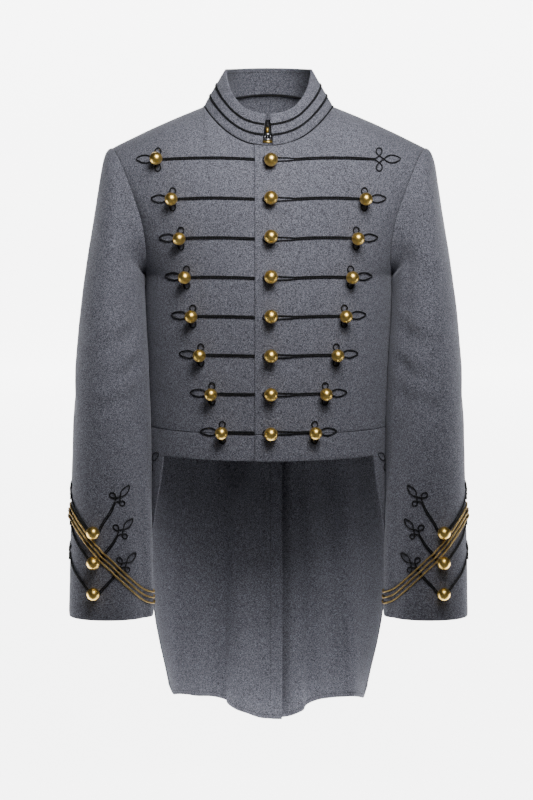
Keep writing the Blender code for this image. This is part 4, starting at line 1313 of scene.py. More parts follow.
@functools.cache
def stitch_tree():
    """Stitches along every path: one small rounded stitch at each step."""
    made = NodeTree(
        "Stitches",
        (("Stitch", "Float"), ("Spacing", "Float"), ("Thickness", "Float"), ("Material", "Material")),
    )
    curve = made.add("GeometryNodeMeshToCurve", ("Mesh", made.value("Geometry")))
    points = made.add("GeometryNodeCurveToPoints", ("Curve", curve.outputs[0]),
                      ("Length", made.value("Spacing")), mode="LENGTH")
    ball = made.add("GeometryNodeMeshIcoSphere", ("Radius", 0.5), ("Subdivisions", 2))
    size = made.add("ShaderNodeCombineXYZ", ("X", made.value("Thickness")), ("Y", made.value("Thickness")),
                    ("Z", made.value("Stitch")))
    laid = made.add("GeometryNodeInstanceOnPoints", ("Points", points.outputs["Points"]),
                    ("Instance", ball.outputs["Mesh"]), ("Rotation", points.outputs["Rotation"]),
                    ("Scale", size.outputs[0]))
    return made.finish(laid.outputs[0])


def grown(name, paths, tree, values):
    """Runs a node tree over paths and returns its result as a plain mesh object."""
    holder = paths_object(name + "_paths", paths)
    modifier = holder.modifiers.new("Grow", "NODES")
    modifier.node_group = tree
    for item in tree.interface.items_tree:
        if item.in_out == "INPUT" and item.name in values:
            modifier[item.identifier] = values[item.name]
    graph = bpy.context.evaluated_depsgraph_get()
    graph.update()
    mesh = bpy.data.meshes.new_from_object(holder.evaluated_get(graph))
    if not mesh.polygons:
        raise RuntimeError(f"{name}: its node tree made nothing")
    holder.modifiers.clear()
    bare = holder.data
    bpy.data.objects.remove(holder)
    bpy.data.meshes.remove(bare)
    mesh.name = name
    piece = bpy.data.objects.new(name, mesh)
    bpy.context.scene.collection.objects.link(piece)
    return piece


def cord_piece(name, paths, material, thickness, lay, strands=2, step=0.0011, sides=6):
    values = {"Thickness": thickness, "Lay": lay, "Strands": strands, "Step": step, "Sides": sides,
              "Material": material}
    return grown(name, paths, cord_tree(), values)


class Shading(NodeMaker):
    """A material whose nodes are added one by one round its Principled BSDF."""

    def __init__(self, name, **sockets):
        self.material = bpy.data.materials.new(name)
        self.material.use_nodes = True
        self.tree = self.material.node_tree
        self.shader = self.tree.nodes["Principled BSDF"]
        for label, value in sockets.items():
            self.shader.inputs[label.replace("_", " ")].default_value = value
        self.place = self.add("ShaderNodeTexCoord").outputs["Object"]

    def noise(self, size, detail=2.0, roughness=0.6):
        """Noise whose features are about size metres across."""
        node = self.add("ShaderNodeTexNoise", ("Vector", self.place), ("Scale", 1.0 / size),
                        ("Detail", detail), ("Roughness", roughness))
        return node.outputs["Fac"]

    def spread(self, value, low, high, to_low=0.0, to_high=1.0):
        node = self.add("ShaderNodeMapRange", ("Value", value), ("From Min", low), ("From Max", high),
                        ("To Min", to_low), ("To Max", to_high))
        return node.outputs["Result"]

    def blend(self, factor, low, high):
        node = self.add("ShaderNodeMix", ("Factor", factor), data_type="RGBA")
        for socket, value in ((6, low), (7, high)):
            if isinstance(value, bpy.types.NodeSocket):
                self.tree.links.new(value, node.inputs[socket])
            else:
                node.inputs[socket].default_value = (*value, 1.0)
        return node.outputs[2]

    def colour(self, output):
        self.tree.links.new(output, self.shader.inputs["Base Color"])

    def roughness(self, output):
        self.tree.links.new(output, self.shader.inputs["Roughness"])

    def bump(self, height, distance, strength=1.0):
        node = self.add("ShaderNodeBump", ("Height", height), ("Distance", distance), ("Strength", strength))
        self.tree.links.new(node.outputs[0], self.shader.inputs["Normal"])


@functools.cache
def wool():
    """Heathered melton wool: flecks of pale and dark fibre, broad tone and a soft nap."""
    cloth = bpy.context.scene.coat_cloth
    made = Shading("grey_wool_100", Roughness=0.92, Sheen_Weight=0.18, Sheen_Roughness=0.55,
                   Specular_IOR_Level=0.20)
    made.shader.inputs["Sheen Tint"].default_value = (0.80, 0.82, 0.90, 1.0)
    fleck = made.spread(made.noise(cloth.heather_size, 3.0, 0.7), 0.46, 0.60)
    light, dark = list(cloth.light_fibre), list(cloth.dark_fibre)
    heather = made.blend(fleck, dark, light)
    cluster = made.spread(made.noise(cloth.heather_size * 3.2, 3.0, 0.6), 0.3, 0.7)
    heather = made.blend(cluster, heather, made.blend(0.25, heather, light))
    broad = made.spread(made.noise(0.055, 3.0), 0.25, 0.75)
    made.colour(made.blend(broad, made.blend(0.10, heather, dark), heather))
    fine, coarse = made.noise(0.0011, 4.0, 0.75), made.noise(0.0042, 2.0)
    nap = made.add("ShaderNodeMath", (0, fine), (1, coarse), operation="ADD")
    made.bump(nap.outputs[0], cloth.nap, 0.30)
    return made.material


@functools.cache
def braid():
    trim = bpy.context.scene.coat_trim
    made = Shading("black_braid", Roughness=0.60, Sheen_Weight=0.05, Sheen_Roughness=0.4,
                   Specular_IOR_Level=0.25)
    deep = list(trim.braid_colour)
    fibre = made.spread(made.noise(0.0006, 2.0), 0.35, 0.7)
    made.colour(made.blend(fibre, deep, [c * 2.4 + 0.002 for c in deep]))
    made.bump(made.noise(0.0005, 2.0), 0.0002, 0.6)
    return made.material


@functools.cache
def gold_thread():
    trim = bpy.context.scene.coat_trim
    made = Shading("gold_thread", Roughness=0.38, Metallic=0.85)
    gold = list(trim.gold_colour)
    fibre = made.spread(made.noise(0.0009, 2.0), 0.35, 0.65)
    made.colour(made.blend(fibre, [c * 0.30 for c in gold], gold))
    made.bump(made.noise(0.0004, 1.0), 0.0002, 0.7)
    return made.material


@functools.cache
def brass():
    trim = bpy.context.scene.coat_trim
    made = Shading("gilt_brass", Roughness=0.24, Metallic=1.0)
    gilt = list(trim.brass_colour)
    tarnish = made.spread(made.noise(0.006, 4.0), 0.45, 0.75)
    made.colour(made.blend(tarnish, gilt, [gilt[0] * 0.86, gilt[1] * 0.78, gilt[2] * 0.62]))
    made.roughness(made.spread(made.noise(0.0024, 4.0, 0.7), 0.3, 0.7, 0.30, 0.38))
    return made.material


@functools.cache
def steel():
    made = Shading("steel", Roughness=0.32, Metallic=1.0)
    made.colour(made.blend(made.noise(0.0015, 2.0), (0.34, 0.34, 0.36), (0.62, 0.62, 0.66)))
    return made.material


@functools.cache
def thread():
    made = Shading("grey_thread", Roughness=0.7, Sheen_Weight=0.1)
    made.colour(made.blend(made.noise(0.0004, 1.0), (0.012, 0.012, 0.015), (0.026, 0.026, 0.032)))
    return made.material


def make_fronts(cloth):
    for side, node in ((-1, "front_right"), (1, "front_left")):
        surface = front_surface(side)
        end_u = collar_end_u(side)
        neck_a = mix(EDGE_SHARE, 1.0, (NECK_SHARE - end_u) / (1 - end_u))
        columns = stations(0.030, cloth.grain, 0.0, EDGE_SHARE, (True, False))[:-1]
        columns += stations(0.100, cloth.grain, EDGE_SHARE, neck_a, (False, False))[:-1]
        columns += stations(0.155, cloth.grain, neck_a, 1.0, (False, True))

        def side_of(a, side=side):
            return side

        def u_of(a, b, side=side):
            return front_u(side, a, b)

        inward = panel_inward(surface, False, side_of, u_of)
        rows = stations(0.420, cloth.grain)
        cloth_piece(node, surface, -side, columns, rows, front_relief, inward)


def make_back(cloth):
    inward = panel_inward(back_surface, True, lambda a: 1 if a > 0.5 else -1, lambda a, b: abs(2 * a - 1))
    half = stations(0.090, cloth.grain, 0.5, 0.5 + NECK_SHARE / 2, (False, False))[:-1]
    half += stations(0.165, cloth.grain, 0.5 + NECK_SHARE / 2, 1.0, (False, True))
    columns = [1 - a for a in reversed(half[1:])] + half
    rows = stations(0.430, cloth.grain)
    cloth_piece("back", back_surface, 1, columns, rows, back_relief, inward)


def rounded_corner(surface):
    """The tail's surface with the outer corner of its hem rounded off."""

    def rounded(a, b):
        near = max(0.0, 1 - (a - STRAP_SHARE) / CORNER_SHARE) if b > STRAP_ROWS else 0.0
        return surface(a, b - CORNER_RISE * near**2 * max(0.0, (b - 0.85) / 0.15) ** 2)

    return rounded


def make_tails(cloth):
    def keep(a, b):
        return a >= STRAP_SHARE or b < STRAP_ROWS

    for side, node in ((-1, "tail_right"), (1, "tail_left")):
        surface = rounded_corner(skirt_surface(side))

        def inward(a, b, surface=surface, side=side):
            return level_inward(surface, a, b, -side) if b <= 0 else None

        columns = stations(0.038, cloth.grain, 0.0, STRAP_FIRST, (True, False))[:-1]
        columns += stations(0.165, cloth.grain, STRAP_FIRST, STRAP_SHARE, (False, True))[:-1]
        columns += stations(0.250, cloth.grain, STRAP_SHARE, 1 - VENT_SHARE, (True, False))[:-1]
        columns += stations(0.027, cloth.grain, 1 - VENT_SHARE, 1.0, (False, True))
        rows = stations(0.039, cloth.grain, 0.0, STRAP_ROWS, (True, True))[:-1]
        rows += stations(0.420, cloth.grain, STRAP_ROWS, 1.0, (True, True))
        cloth_piece(node, surface, -side, columns, rows, tail_relief(side), inward, keep)


def make_sleeves(cloth):
    parts = (
        ("top_sleeve", BACK_SLEEVE_SEAM - 360.0, FRONT_SLEEVE_SEAM, 0.300),
        ("under_sleeve", FRONT_SLEEVE_SEAM, BACK_SLEEVE_SEAM, 0.100),
    )
    for side, word in HANDS:
        relief = sleeve_relief(side)
        for part, start, end, width in parts:

            def surface(a, b, side=side):
                return mirrored(sleeve_point(360.0 * a - 90.0, b), side)

            def inward(a, b, side=side):
                return mirrored(armhole_inward(360.0 * a - 90.0), side) if b <= 0 else None

            first, last = ((turn + 90.0) / 360.0 for turn in (start + SEAM_TURN, end - SEAM_TURN))
            columns = stations(width, cloth.grain, first, last)
            rows = stations(0.650, cloth.grain)
            cloth_piece(f"{part}_{word}", surface, side, columns, rows, relief, inward)


def collar_spot(turn, t):
    """A point of the finished collar, whose top edge falls more to the front than a plain oval's."""
    point = collar_point(turn, t)
    forward = math.cos(turn)
    if forward > 0:
        sideways = math.sin(turn) ** 2
        lower = (COLLAR_TOP_SIDE_Z - COLLAR_TOP_FRONT_Z) * (sideways - (1 - forward)) * COLLAR_CUT
        point.z -= lower * t
        wide = signed_power(math.sin(turn), COLLAR_SQUARE) - math.sin(turn)
        point.x += COLLAR_TOP_HALF * wide * ease(abs(math.sin(turn)) / 0.5) * t
    return point


def collar_surface(a, b):
    return collar_spot(collar_turn(a, b), b)


def make_collar(cloth):
    def inward(a, b):
        point = collar_surface(a, b)
        return Vector((-point.x, -point.y, 0)).normalized() if b <= 0 else None

    columns = stations(0.560, cloth.grain)
    rows = stations(0.050, cloth.grain * 0.8)
    cloth_piece("collar", collar_surface, 1, columns, rows, plain_relief, inward, thickness=COLLAR_CLOTH)


def collar_cord(level, drop, height):
    """A path round the collar at a share of its height, off its cloth by a height, between the front ends."""
    tree = tree_of("collar")
    path = []
    count = 220
    for k in range(count + 1):
        a = mix(*COLLAR_CORD_ENDS, k / count)
        t = level - drop * abs(math.sin(2 * math.pi * a)) ** BAND_DROP_POWER
        point = collar_surface(a, t)
        normal = normal_of(collar_surface, min(max(a, 0.01), 0.99), t)
        hit = tree.ray_cast(point + normal * 0.01, -normal)[0]
        path.append((hit or point) + normal * height)
    return relaxed(path, False)


def make_collar_bands(trim):
    radius = trim.collar_cord / 2
    offset = radius / COLLAR_HEIGHT
    for node, (level, drop) in zip(("collar_braid_lower", "collar_braid_upper"), COLLAR_BANDS):
        paths = [(collar_cord(level + hand * offset, drop, radius * 0.85), False) for hand in (-1, 1)]
        piece = cord_piece(node + "_cord", paths, braid(), trim.collar_cord, trim.cord_lay)
        settle(piece, "black_braid", node)


def row_z(row):
    return TOP_ROW_Z - ROW_PITCH * row


def row_arch(row):
    """How far a frog's line bows up in its middle: more on the upper rows."""
    return 0.0022 * max(0.0, 1 - row / 6)


def flat_knot(scale=1.0):
    return [Vector((x, y, lift)) * scale * 0.001 for x, y, lift in KNOT_PATH]


def make_frogs(trim):
    """The frogs: one cord runs out, round its knot and back, and on the left round the button too."""
    radius = trim.cord / 2
    for side, word in HANDS:
        tree = tree_of(f"front_{word}", f"tail_{word}")
        for row in range(ROWS):
            hub, level = KNOT_X[row], row_z(row)
            reach = BUTTON_LINE_X + FROG_START if side > 0 else FRONT_TUCK_X
            span = hub - reach
            lines = {1: [], -1: []}
            for hand, line in lines.items():
                for t in (k / 6 for k in range(6)):
                    up = hand * radius * PAIR_SHARE + row_arch(row) * math.sin(math.pi * t)
                    line.append(Vector((mix(-span, KNOT_START, t), up, 0.0)))
            path = lines[1] + flat_knot() + lines[-1][::-1]
            if side > 0:
                path += [Vector((BUTTON_LINE_X + x - hub, -y, 0.0)) for x, y in BUTTON_LOOP_PATH]
            laid = []
            for point in smooth_path(path, 0.0010, side > 0):
                spot, normal = front_spot(tree, side * (hub + point.x), level + point.y)
                laid.append(spot + normal * (radius * LAID_SHARE + point.z))
            laid = relaxed(laid, side > 0)
            name = f"frog_{word}_{row + 1}"
            piece = cord_piece(name + "_cord", [(laid, side > 0)], braid(), trim.cord, trim.cord_lay)
            settle(piece, "black_braid", name)


def ball(work, foot, out, radius, rings):
    """A ball button on its shank, which stands on foot along out."""
    middle = foot + out * (SHANK_RISE + math.sqrt(radius**2 - SHANK**2))
    turn = out.to_track_quat("Z", "Y").to_matrix().to_4x4()
    place = Matrix.Translation(middle) @ turn
    bmesh.ops.create_uvsphere(work, u_segments=rings * 2, v_segments=rings, radius=radius, matrix=place)
    stem = Matrix.Translation(foot + out * SHANK_RISE * 0.6) @ turn
    thin = SHANK * 0.8
    bmesh.ops.create_cone(
        work, cap_ends=True, segments=12, radius1=thin, radius2=thin, depth=SHANK_RISE * 1.2, matrix=stem
    )


def make_front_buttons(trim):
    trees = {side: tree_of(f"front_{word}", f"tail_{word}") for side, word in HANDS}
    groups = {"centre": [], "right": [], "left": []}
    for row in range(ROWS):
        groups["centre"].append((row, 1, BUTTON_LINE_X, CENTRE_RISE[row], 0.0003, BALL_CENTRE))
        groups["right"].append((row, -1, -KNOT_X[row], 0.0, 0.0020, BALL_SIDE))
        if row:
            groups["left"].append((row, 1, KNOT_X[row], 0.0, 0.0020, BALL_SIDE))
    for word, places in groups.items():
        work = bmesh.new()
        for row, side, x, rise, foot, radius in places:
            spot, normal = front_spot(trees[side], x, row_z(row) + rise)
            out = Vector((normal.x * BUTTON_TURN_IN, normal.y, normal.z * BUTTON_DROP)).normalized()
            ball(work, spot + normal * foot, out, radius, trim.ball_rings)
        piece = piece_from(work, f"balls_{word}", brass())
        settle(piece, "gilt_brass", *(f"button_{word}_{row + 1}" for row, *_ in places))


def chevron_path(tree, side, level, arms, radius):
    """One chevron's closed cord: up to a knot on each hand of the button, doubled all the way."""
    path = []
    for hand, reach, rise in ((1, *arms[:2]), (-1, *arms[2:])):
        arm = Vector((reach, rise + CHEVRON_DIP, 0.0))
        across = Vector((-arm.y, arm.x, 0.0)).normalized() * radius * PAIR_SHARE
        turn = math.atan2(arm.y, arm.x) + CHEVRON_KNOT_TURN
        along = Vector((math.cos(turn), math.sin(turn), 0.0))
        beside = Vector((-math.sin(turn), math.cos(turn), 0.0))
        out = [arm * t - across for t in (0.10, 0.30, 0.50, 0.70)]
        home = [arm * t + across for t in (0.70, 0.50, 0.30, 0.10)]
        flat = flat_knot(CUFF_LOOP_SCALE)
        knot = [arm + along * p.x - beside * p.y + Vector((0.0, 0.0, p.z)) for p in flat]
        part = out + knot + home
        path += part if hand > 0 else [Vector((-p.x, p.y, p.z)) for p in reversed(part)]
    laid = []
    for point in smooth_path(path, 0.0012, True):
        turn = CUFF_TURN + point.x / CUFF_MM_PER_DEGREE
        spot, normal = sleeve_spot(tree, side, turn, level - CHEVRON_DIP + point.y)
        laid.append(spot + normal * (radius * LAID_SHARE + point.z))
    return relaxed(laid, True)


def gold_path(tree, side, offset):
    """One gold cord round the cuff, high on the outside and low on the inside."""
    path = []
    count = 360
    for k in range(count):
        a = 2 * math.pi * k / count
        level = GOLD_MIDDLE_Z + offset + GOLD_SWEEP * math.cos(a) - GOLD_SAG * math.sin(a) ** 2
        spot, normal = sleeve_spot(tree, side, math.degrees(a), level)
        path.append((spot, normal))
    return path


def make_cuffs(trim):
    for side, word in HANDS:
        tree = tree_of(f"top_sleeve_{word}", f"under_sleeve_{word}")
        radius = trim.cord / 2
        blacks = []
        for level, arms in zip(CUFF_LEVELS, CUFF_ARMS):
            blacks.append((chevron_path(tree, side, level, arms, radius), True))
        piece = cord_piece(f"chevrons_{word}", blacks, braid(), trim.cord, trim.cord_lay)
        settle(piece, "black_braid", f"cuff_trim_{word}")
        beads = KDTree(sum(len(path) for path, _ in blacks))
        for k, point in enumerate(p for path, _ in blacks for p in path):
            beads.insert(point, k)
        beads.balance()
        gold = []
        for offset in (-CUFF_GOLD_PITCH, 0.0, CUFF_GOLD_PITCH):
            path = gold_path(tree, side, offset)
            lifts = []
            for spot, normal in path:
                away = beads.find(spot)[2]
                lifts.append(trim.cord * 0.92 * ease((0.0055 - away) / 0.0035))
            count = len(lifts)
            for _ in range(2):
                lifts = [(lifts[k - 1] + 2 * lifts[k] + lifts[(k + 1) % count]) / 4 for k in range(count)]
            seat = trim.gold_cord * 0.45
            laid = [spot + normal * (seat + lift) for (spot, normal), lift in zip(path, lifts)]
            gold.append((relaxed(laid, True), True))
        piece = cord_piece(f"gold_cords_{word}", gold, gold_thread(), trim.gold_cord, trim.gold_cord * 2.4,
                           strands=3, step=0.0010)
        settle(piece, "gilt_brass")
        work = bmesh.new()
        for level in CUFF_LEVELS:
            spot, normal = sleeve_spot(tree, side, CUFF_TURN, level)
            ball(work, spot + normal * 0.0003, normal, BALL_CUFF, trim.ball_rings)
        piece = piece_from(work, f"balls_cuff_{word}", brass())
        settle(piece, "gilt_brass", *(f"button_cuff_{word}_{number}" for number in (1, 2, 3)))


def make_piping(trim):
    """The black piping in the neck seam, from one end of the collar round the back to the other."""
    path = []
    count = 200
    start, end = collar_end_turn(1, 0.0), 2 * math.pi - collar_end_turn(-1, 0.0)
    for k in range(count + 1):
        turn = mix(start, end, k / count)
        point = neckline(turn if turn <= math.pi else 2 * math.pi - turn)
        point = mirrored(point, 1 if turn <= math.pi else -1)
        out = Vector((point.x, point.y, 0)).normalized()
        rise = lap_rise(point.x) if point.y < 0 and point.x > FRONT_EDGE_X else 0.0
        path.append(point + out * (trim.piping * 0.15 + rise * 0.7) + Vector((0, 0, SEAM * 1.5)))
    piece = cord_piece("neck_piping", [(relaxed(path, False), False)], braid(), trim.piping, trim.cord_lay)
    settle(piece, "black_braid")


def make_seam_threads(trim):
    """The sewing of each seam: a thread in the groove between the pieces, and a cord inside the neck."""
    paths = []
    for node, grid in GRIDS.items():
        columns, rows = range(len(grid.columns)), range(len(grid.rows))
        sewn = [[(i, 0) for i in columns]]
        if node != "collar" and not node.startswith("tail"):
            sewn.append([(columns[-1], j) for j in rows])
        if node == "back" or "sleeve" in node:
            sewn.append([(0, j) for j in rows])
        for corners in sewn:
            line = grid.seam(corners, 0.5)
            paths.append((smooth_path(line, 0.004), False))
    piece = cord_piece("seam_threads", paths, thread(), SEAM_THREAD, trim.cord_lay,
                       strands=3, step=0.0025, sides=5)
    settle(piece, "grey_wool")
    grid = GRIDS["collar"]
    line = grid.seam([(i, 0) for i in range(len(grid.columns))], 1.0)
    line = [point - Vector((0.0, 0.0, NECK_CORD_DROP)) for point in line[4:-4]]
    piece = cord_piece("inner_neck_cord", [(line, False)], braid(), NECK_CORD, trim.cord_lay)
    settle(piece, "black_braid")


def make_tail_knots(trim):
    """A knot on each tail's side, its long loop pointing up to the front edge, over a doubled cord."""
    along = Vector((math.cos(TAIL_KNOT_TILT), math.sin(TAIL_KNOT_TILT)))
    beside = Vector((-along.y, along.x))
    radius = TAIL_CORD / 2
    for side, word in HANDS:
        tree = tree_of(f"tail_{word}")

        def lay(x, z, height):
            turn = math.radians(TAIL_KNOT_TURN) - x / TAIL_SIDE_RADIUS
            point = mirrored(ring_point(turn, z), side)
            out = Vector((side * math.sin(turn), -math.cos(turn), 0)).normalized()
            hit = tree.ray_cast(point + out * 0.02, -out)[0]
            return (hit or point) + out * height

        knot = []
        for p in flat_knot(TAIL_KNOT_SCALE):
            flat = along * p.x + beside * p.y
            knot.append(Vector((flat.x, flat.y, p.z)))
        lines = []
        for hand in (-1, 1):
            lines.append([Vector((x + hand * radius * PAIR_SHARE, z, 0.0)) for x, z in TAIL_CORD_LINE])
        path = lines[0][::-1] + knot + lines[1]
        smooth = smooth_path(path, 0.001, True)
        laid = [lay(p.x, TAIL_KNOT_Z + p.y, radius * LAID_SHARE + p.z) for p in smooth]
        paths = [(relaxed(laid, True), True)]
        piece = cord_piece(f"tail_knot_{word}", paths, braid(), TAIL_CORD, trim.cord_lay * 0.8)
        settle(piece, "black_braid")


def box(work, middle, across, up, back, sizes):
    """A small bar with its middle at a point: sizes are its width, height and depth."""
    turned = Matrix((across, up, back)).transposed().to_4x4()
    place = Matrix.Translation(middle) @ turned @ Matrix.Diagonal((*sizes, 1))
    bmesh.ops.create_cube(work, size=1.0, matrix=place)


def make_clasp():
    """The hook plate behind the collar's front gap: a base bar, a steel eye plate and the hook's tab."""
    low, high = collar_point(0.0, 0.06), collar_point(0.0, 0.56)
    up = (high - low).normalized()
    across = Vector((1, 0, 0))
    back = across.cross(up).normalized()
    if back.y < 0:
        back.negate()
    middle = Vector((COLLAR_MIDDLE_X, low.y, low.z)) + back * (COLLAR_CLOTH + 3 * SEAM)
    for name, material, slot, bars in (
        ("clasp_brass", brass(), "gilt_brass", CLASP_BRASS),
        ("clasp_steel", steel(), "gilt_brass", CLASP_STEEL),
        ("clasp_backing", braid(), "black_braid", CLASP_BACKING),
    ):
        work = bmesh.new()
        for x, height, depth, width, tall, deep in bars:
            box(work, middle + across * x + up * height + back * depth, across, up, back, (width, tall, deep))
        bmesh.ops.bevel(work, geom=work.edges[:], offset=0.00035, segments=2, affect="EDGES")
        piece = piece_from(work, name, material)
        settle(piece, slot, *(("collar_clasp",) if name == "clasp_brass" else ()))


def stitched(name, paths, trim):
    values = {"Stitch": trim.stitch, "Spacing": trim.stitch * 1.25, "Thickness": trim.stitch * 0.32,
              "Material": thread()}
    piece = grown(name, paths, stitch_tree(), values)
    settle(piece, "grey_wool")


def make_stitching(trim):
    """Rows of stitches on the hems of the tails, beside the vent and inside the collar."""
    for side, word in HANDS:
        grid = GRIDS[f"tail_{word}"]
        last = len(grid.rows) - 1
        paths = []
        for points in (grid.inner, grid.outer):
            line = []
            for i in range(len(grid.columns)):
                if (i, last) in points:
                    line.append(grid.down_from(points, i, last, HEM_STITCH))
            paths.append((line[3:-3], False))
        stitched(f"hem_stitches_{word}", paths, trim)
    tree = tree_of("tail_right")
    line = []
    for k in range(VENT_STITCH_STEPS + 1):
        z = mix(STRAP_HEM_Z + 0.004, VENT_STITCH_LOW_Z, k / VENT_STITCH_STEPS)
        hit = tree.ray_cast(Vector((VENT_STITCH_X, 0.0, z)), Vector((0, 1, 0)))[0]
        if hit:
            line.append(hit - Vector((0, CLOTH, 0)))
    stitched("vent_stitches", [(line, False)], trim)
    grid = GRIDS["collar"]
    last = len(grid.rows) - 1
    line = [grid.down_from(grid.inner, i, last, COLLAR_STITCH) for i in range(len(grid.columns))]
    stitched("collar_stitches", [(line[3:-3], False)], trim)


def sweep(name, profile, glow, colour):
    """A wide plain surface that follows a profile of depth and height, with a glow of its own."""
    work = bmesh.new()
    edges = (BACKDROP_HALF, -BACKDROP_HALF)
    sides = [[work.verts.new((x, y, FLOOR_Z + z)) for y, z in profile] for x in edges]
    for k in range(len(profile) - 1):
        work.faces.new((sides[1][k], sides[0][k], sides[0][k + 1], sides[1][k + 1]))
    made = Shading(name, Roughness=0.9)
    made.colour(made.blend(made.noise(0.6, 1.0), colour, [c * 0.99 for c in colour]))
    made.shader.inputs["Emission Color"].default_value = (1.0, 1.0, 1.0, 1.0)
    made.shader.inputs["Emission Strength"].default_value = glow
    piece_from(work, name, made.material)


def make_studio(studio):
    darker = [c * FRONT_FLOOR_SHADE for c in studio.floor]
    sweep("studio_floor", [(FLOOR_FRONT_Y, 0.0), (FLOOR_SPLIT_Y, 0.0)], 0.0, darker)
    bends = [math.radians(turn) for turn in range(6, 91, 6)]
    curve = [(WALL_START_Y + WALL_CURVE * math.sin(a), WALL_CURVE - WALL_CURVE * math.cos(a)) for a in bends]
    profile = [(FLOOR_SPLIT_Y, 0.0), (WALL_START_Y, 0.0)] + curve + [(WALL_START_Y + WALL_CURVE, WALL_HEIGHT)]
    sweep("studio_backdrop", profile, BACKDROP_GLOW, list(studio.floor))

    world = bpy.data.worlds.new("studio")
    world.use_nodes = True
    sky = world.node_tree.nodes["Background"].inputs
    sky["Color"].default_value = (1.0, 1.0, 1.0, 1.0)
    sky["Strength"].default_value = WORLD_STRENGTH
    bpy.context.scene.world = world
    for name, (place, aim, size, spread), power in (
        ("key_light", KEY_LIGHT, studio.key),
        ("fill_light", FILL_LIGHT, studio.fill),
    ):
        lamp = bpy.data.lights.new(name, "AREA")
        lamp.shape = "SQUARE"
        lamp.size = size
        lamp.energy = power
        lamp.spread = math.radians(spread)
        holder = bpy.data.objects.new(name, lamp)
        holder.location = place
        holder.rotation_euler = (Vector(aim) - Vector(place)).to_track_quat("-Z", "Y").to_euler()
        bpy.context.scene.collection.objects.link(holder)

    lens = bpy.data.cameras.new("camera")
    lens.lens = studio.lens
    lens.sensor_fit = "VERTICAL"
    lens.sensor_height = 36.0
    camera = bpy.data.objects.new("camera", lens)
    away = Vector((0.0, -math.cos(studio.height), math.sin(studio.height))) * studio.distance
    camera.location = CAMERA_TARGET + away
    camera.rotation_euler = (-away).to_track_quat("-Z", "Y").to_euler()
    bpy.context.scene.collection.objects.link(camera)
    bpy.context.scene.camera = camera


class COAT_OT_body(bpy.types.Operator):
    """Builds the two fronts and the back"""

    bl_idname = "coat.body"
    bl_label = "Body"

    def execute(self, context):
        make_fronts(context.scene.coat_cloth)
        make_back(context.scene.coat_cloth)
        return {"FINISHED"}


class COAT_OT_tails(bpy.types.Operator):
    """Builds the waist straps and tails"""

    bl_idname = "coat.tails"
    bl_label = "Tails"

    def execute(self, context):
        make_tails(context.scene.coat_cloth)
        return {"FINISHED"}


class COAT_OT_sleeves(bpy.types.Operator):
    """Builds the two-piece sleeves"""

    bl_idname = "coat.sleeves"
    bl_label = "Sleeves"

    def execute(self, context):
        make_sleeves(context.scene.coat_cloth)
        return {"FINISHED"}


class COAT_OT_collar(bpy.types.Operator):
    """Builds the standing collar and its two black bands"""

    bl_idname = "coat.collar"
    bl_label = "Collar"

    def execute(self, context):
        make_collar(context.scene.coat_cloth)
        make_collar_bands(context.scene.coat_trim)
        return {"FINISHED"}


class COAT_OT_frogs(bpy.types.Operator):
    """Lays the cord frogs on the fronts"""

    bl_idname = "coat.frogs"
    bl_label = "Frogs"

    def execute(self, context):
        make_frogs(context.scene.coat_trim)
        return {"FINISHED"}


class COAT_OT_buttons(bpy.types.Operator):
    """Sews on the front's ball buttons"""

    bl_idname = "coat.buttons"
    bl_label = "Front buttons"

    def execute(self, context):
        make_front_buttons(context.scene.coat_trim)
        return {"FINISHED"}


class COAT_OT_cuffs(bpy.types.Operator):
    """Lays the chevrons and gold cords on the cuffs and sews on their buttons"""

    bl_idname = "coat.cuffs"
    bl_label = "Cuff trim"

    def execute(self, context):
        make_cuffs(context.scene.coat_trim)
        return {"FINISHED"}


class COAT_OT_small_trim(bpy.types.Operator):
    """Adds the neck piping, the knots on the tails and the collar's clasp"""

    bl_idname = "coat.small_trim"
    bl_label = "Small trim"

    def execute(self, context):
        make_piping(context.scene.coat_trim)
        make_tail_knots(context.scene.coat_trim)
        make_clasp()
        return {"FINISHED"}


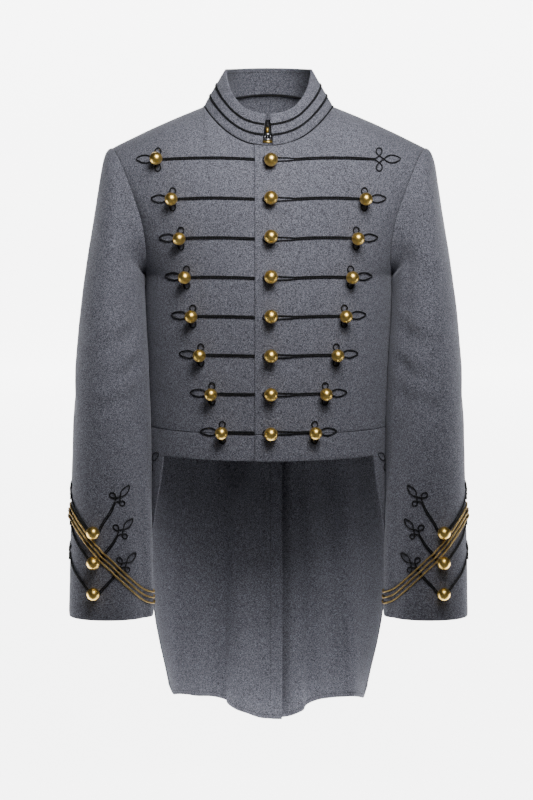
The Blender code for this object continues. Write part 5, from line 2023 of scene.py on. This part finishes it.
class COAT_OT_stitching(bpy.types.Operator):
    """Sews the seams, the hems, the vent and the inside of the collar"""

    bl_idname = "coat.stitching"
    bl_label = "Stitching"

    def execute(self, context):
        make_seam_threads(context.scene.coat_trim)
        make_stitching(context.scene.coat_trim)
        return {"FINISHED"}


class COAT_OT_studio(bpy.types.Operator):
    """Sets up the floor, lights and camera"""

    bl_idname = "coat.studio"
    bl_label = "Studio"

    def execute(self, context):
        make_studio(context.scene.coat_studio)
        return {"FINISHED"}


OPERATORS = (
    COAT_OT_body,
    COAT_OT_tails,
    COAT_OT_sleeves,
    COAT_OT_collar,
    COAT_OT_frogs,
    COAT_OT_buttons,
    COAT_OT_cuffs,
    COAT_OT_small_trim,
    COAT_OT_stitching,
    COAT_OT_studio,
)
GROUPS = {"coat_cloth": CoatCloth, "coat_trim": CoatTrim, "coat_studio": CoatStudio}


class COAT_PT_panel(bpy.types.Panel):
    """The coat's steps and sizes in the 3D view's sidebar"""

    bl_idname = "COAT_PT_panel"
    bl_label = "Full Dress Tailcoat"
    bl_space_type = "VIEW_3D"
    bl_region_type = "UI"
    bl_category = "Coat"

    def draw(self, context):
        for operator in OPERATORS:
            self.layout.operator(operator.bl_idname)
        for name, group in GROUPS.items():
            column = self.layout.column()
            for field in group.__annotations__:
                column.prop(getattr(context.scene, name), field)


def register():
    for group in GROUPS.values():
        bpy.utils.register_class(group)
    for name, group in GROUPS.items():
        setattr(bpy.types.Scene, name, PointerProperty(type=group))
    for operator in OPERATORS:
        bpy.utils.register_class(operator)
    bpy.utils.register_class(COAT_PT_panel)


def unregister():
    bpy.utils.unregister_class(COAT_PT_panel)
    for operator in reversed(OPERATORS):
        bpy.utils.unregister_class(operator)
    for name, group in GROUPS.items():
        delattr(bpy.types.Scene, name)
        bpy.utils.unregister_class(group)


def main():
    register()
    bpy.ops.coat.body()
    bpy.ops.coat.tails()
    bpy.ops.coat.sleeves()
    bpy.ops.coat.collar()
    bpy.ops.coat.frogs()
    bpy.ops.coat.buttons()
    bpy.ops.coat.cuffs()
    bpy.ops.coat.small_trim()
    bpy.ops.coat.stitching()
    bpy.ops.coat.studio()


if __name__ == "__main__":
    main()
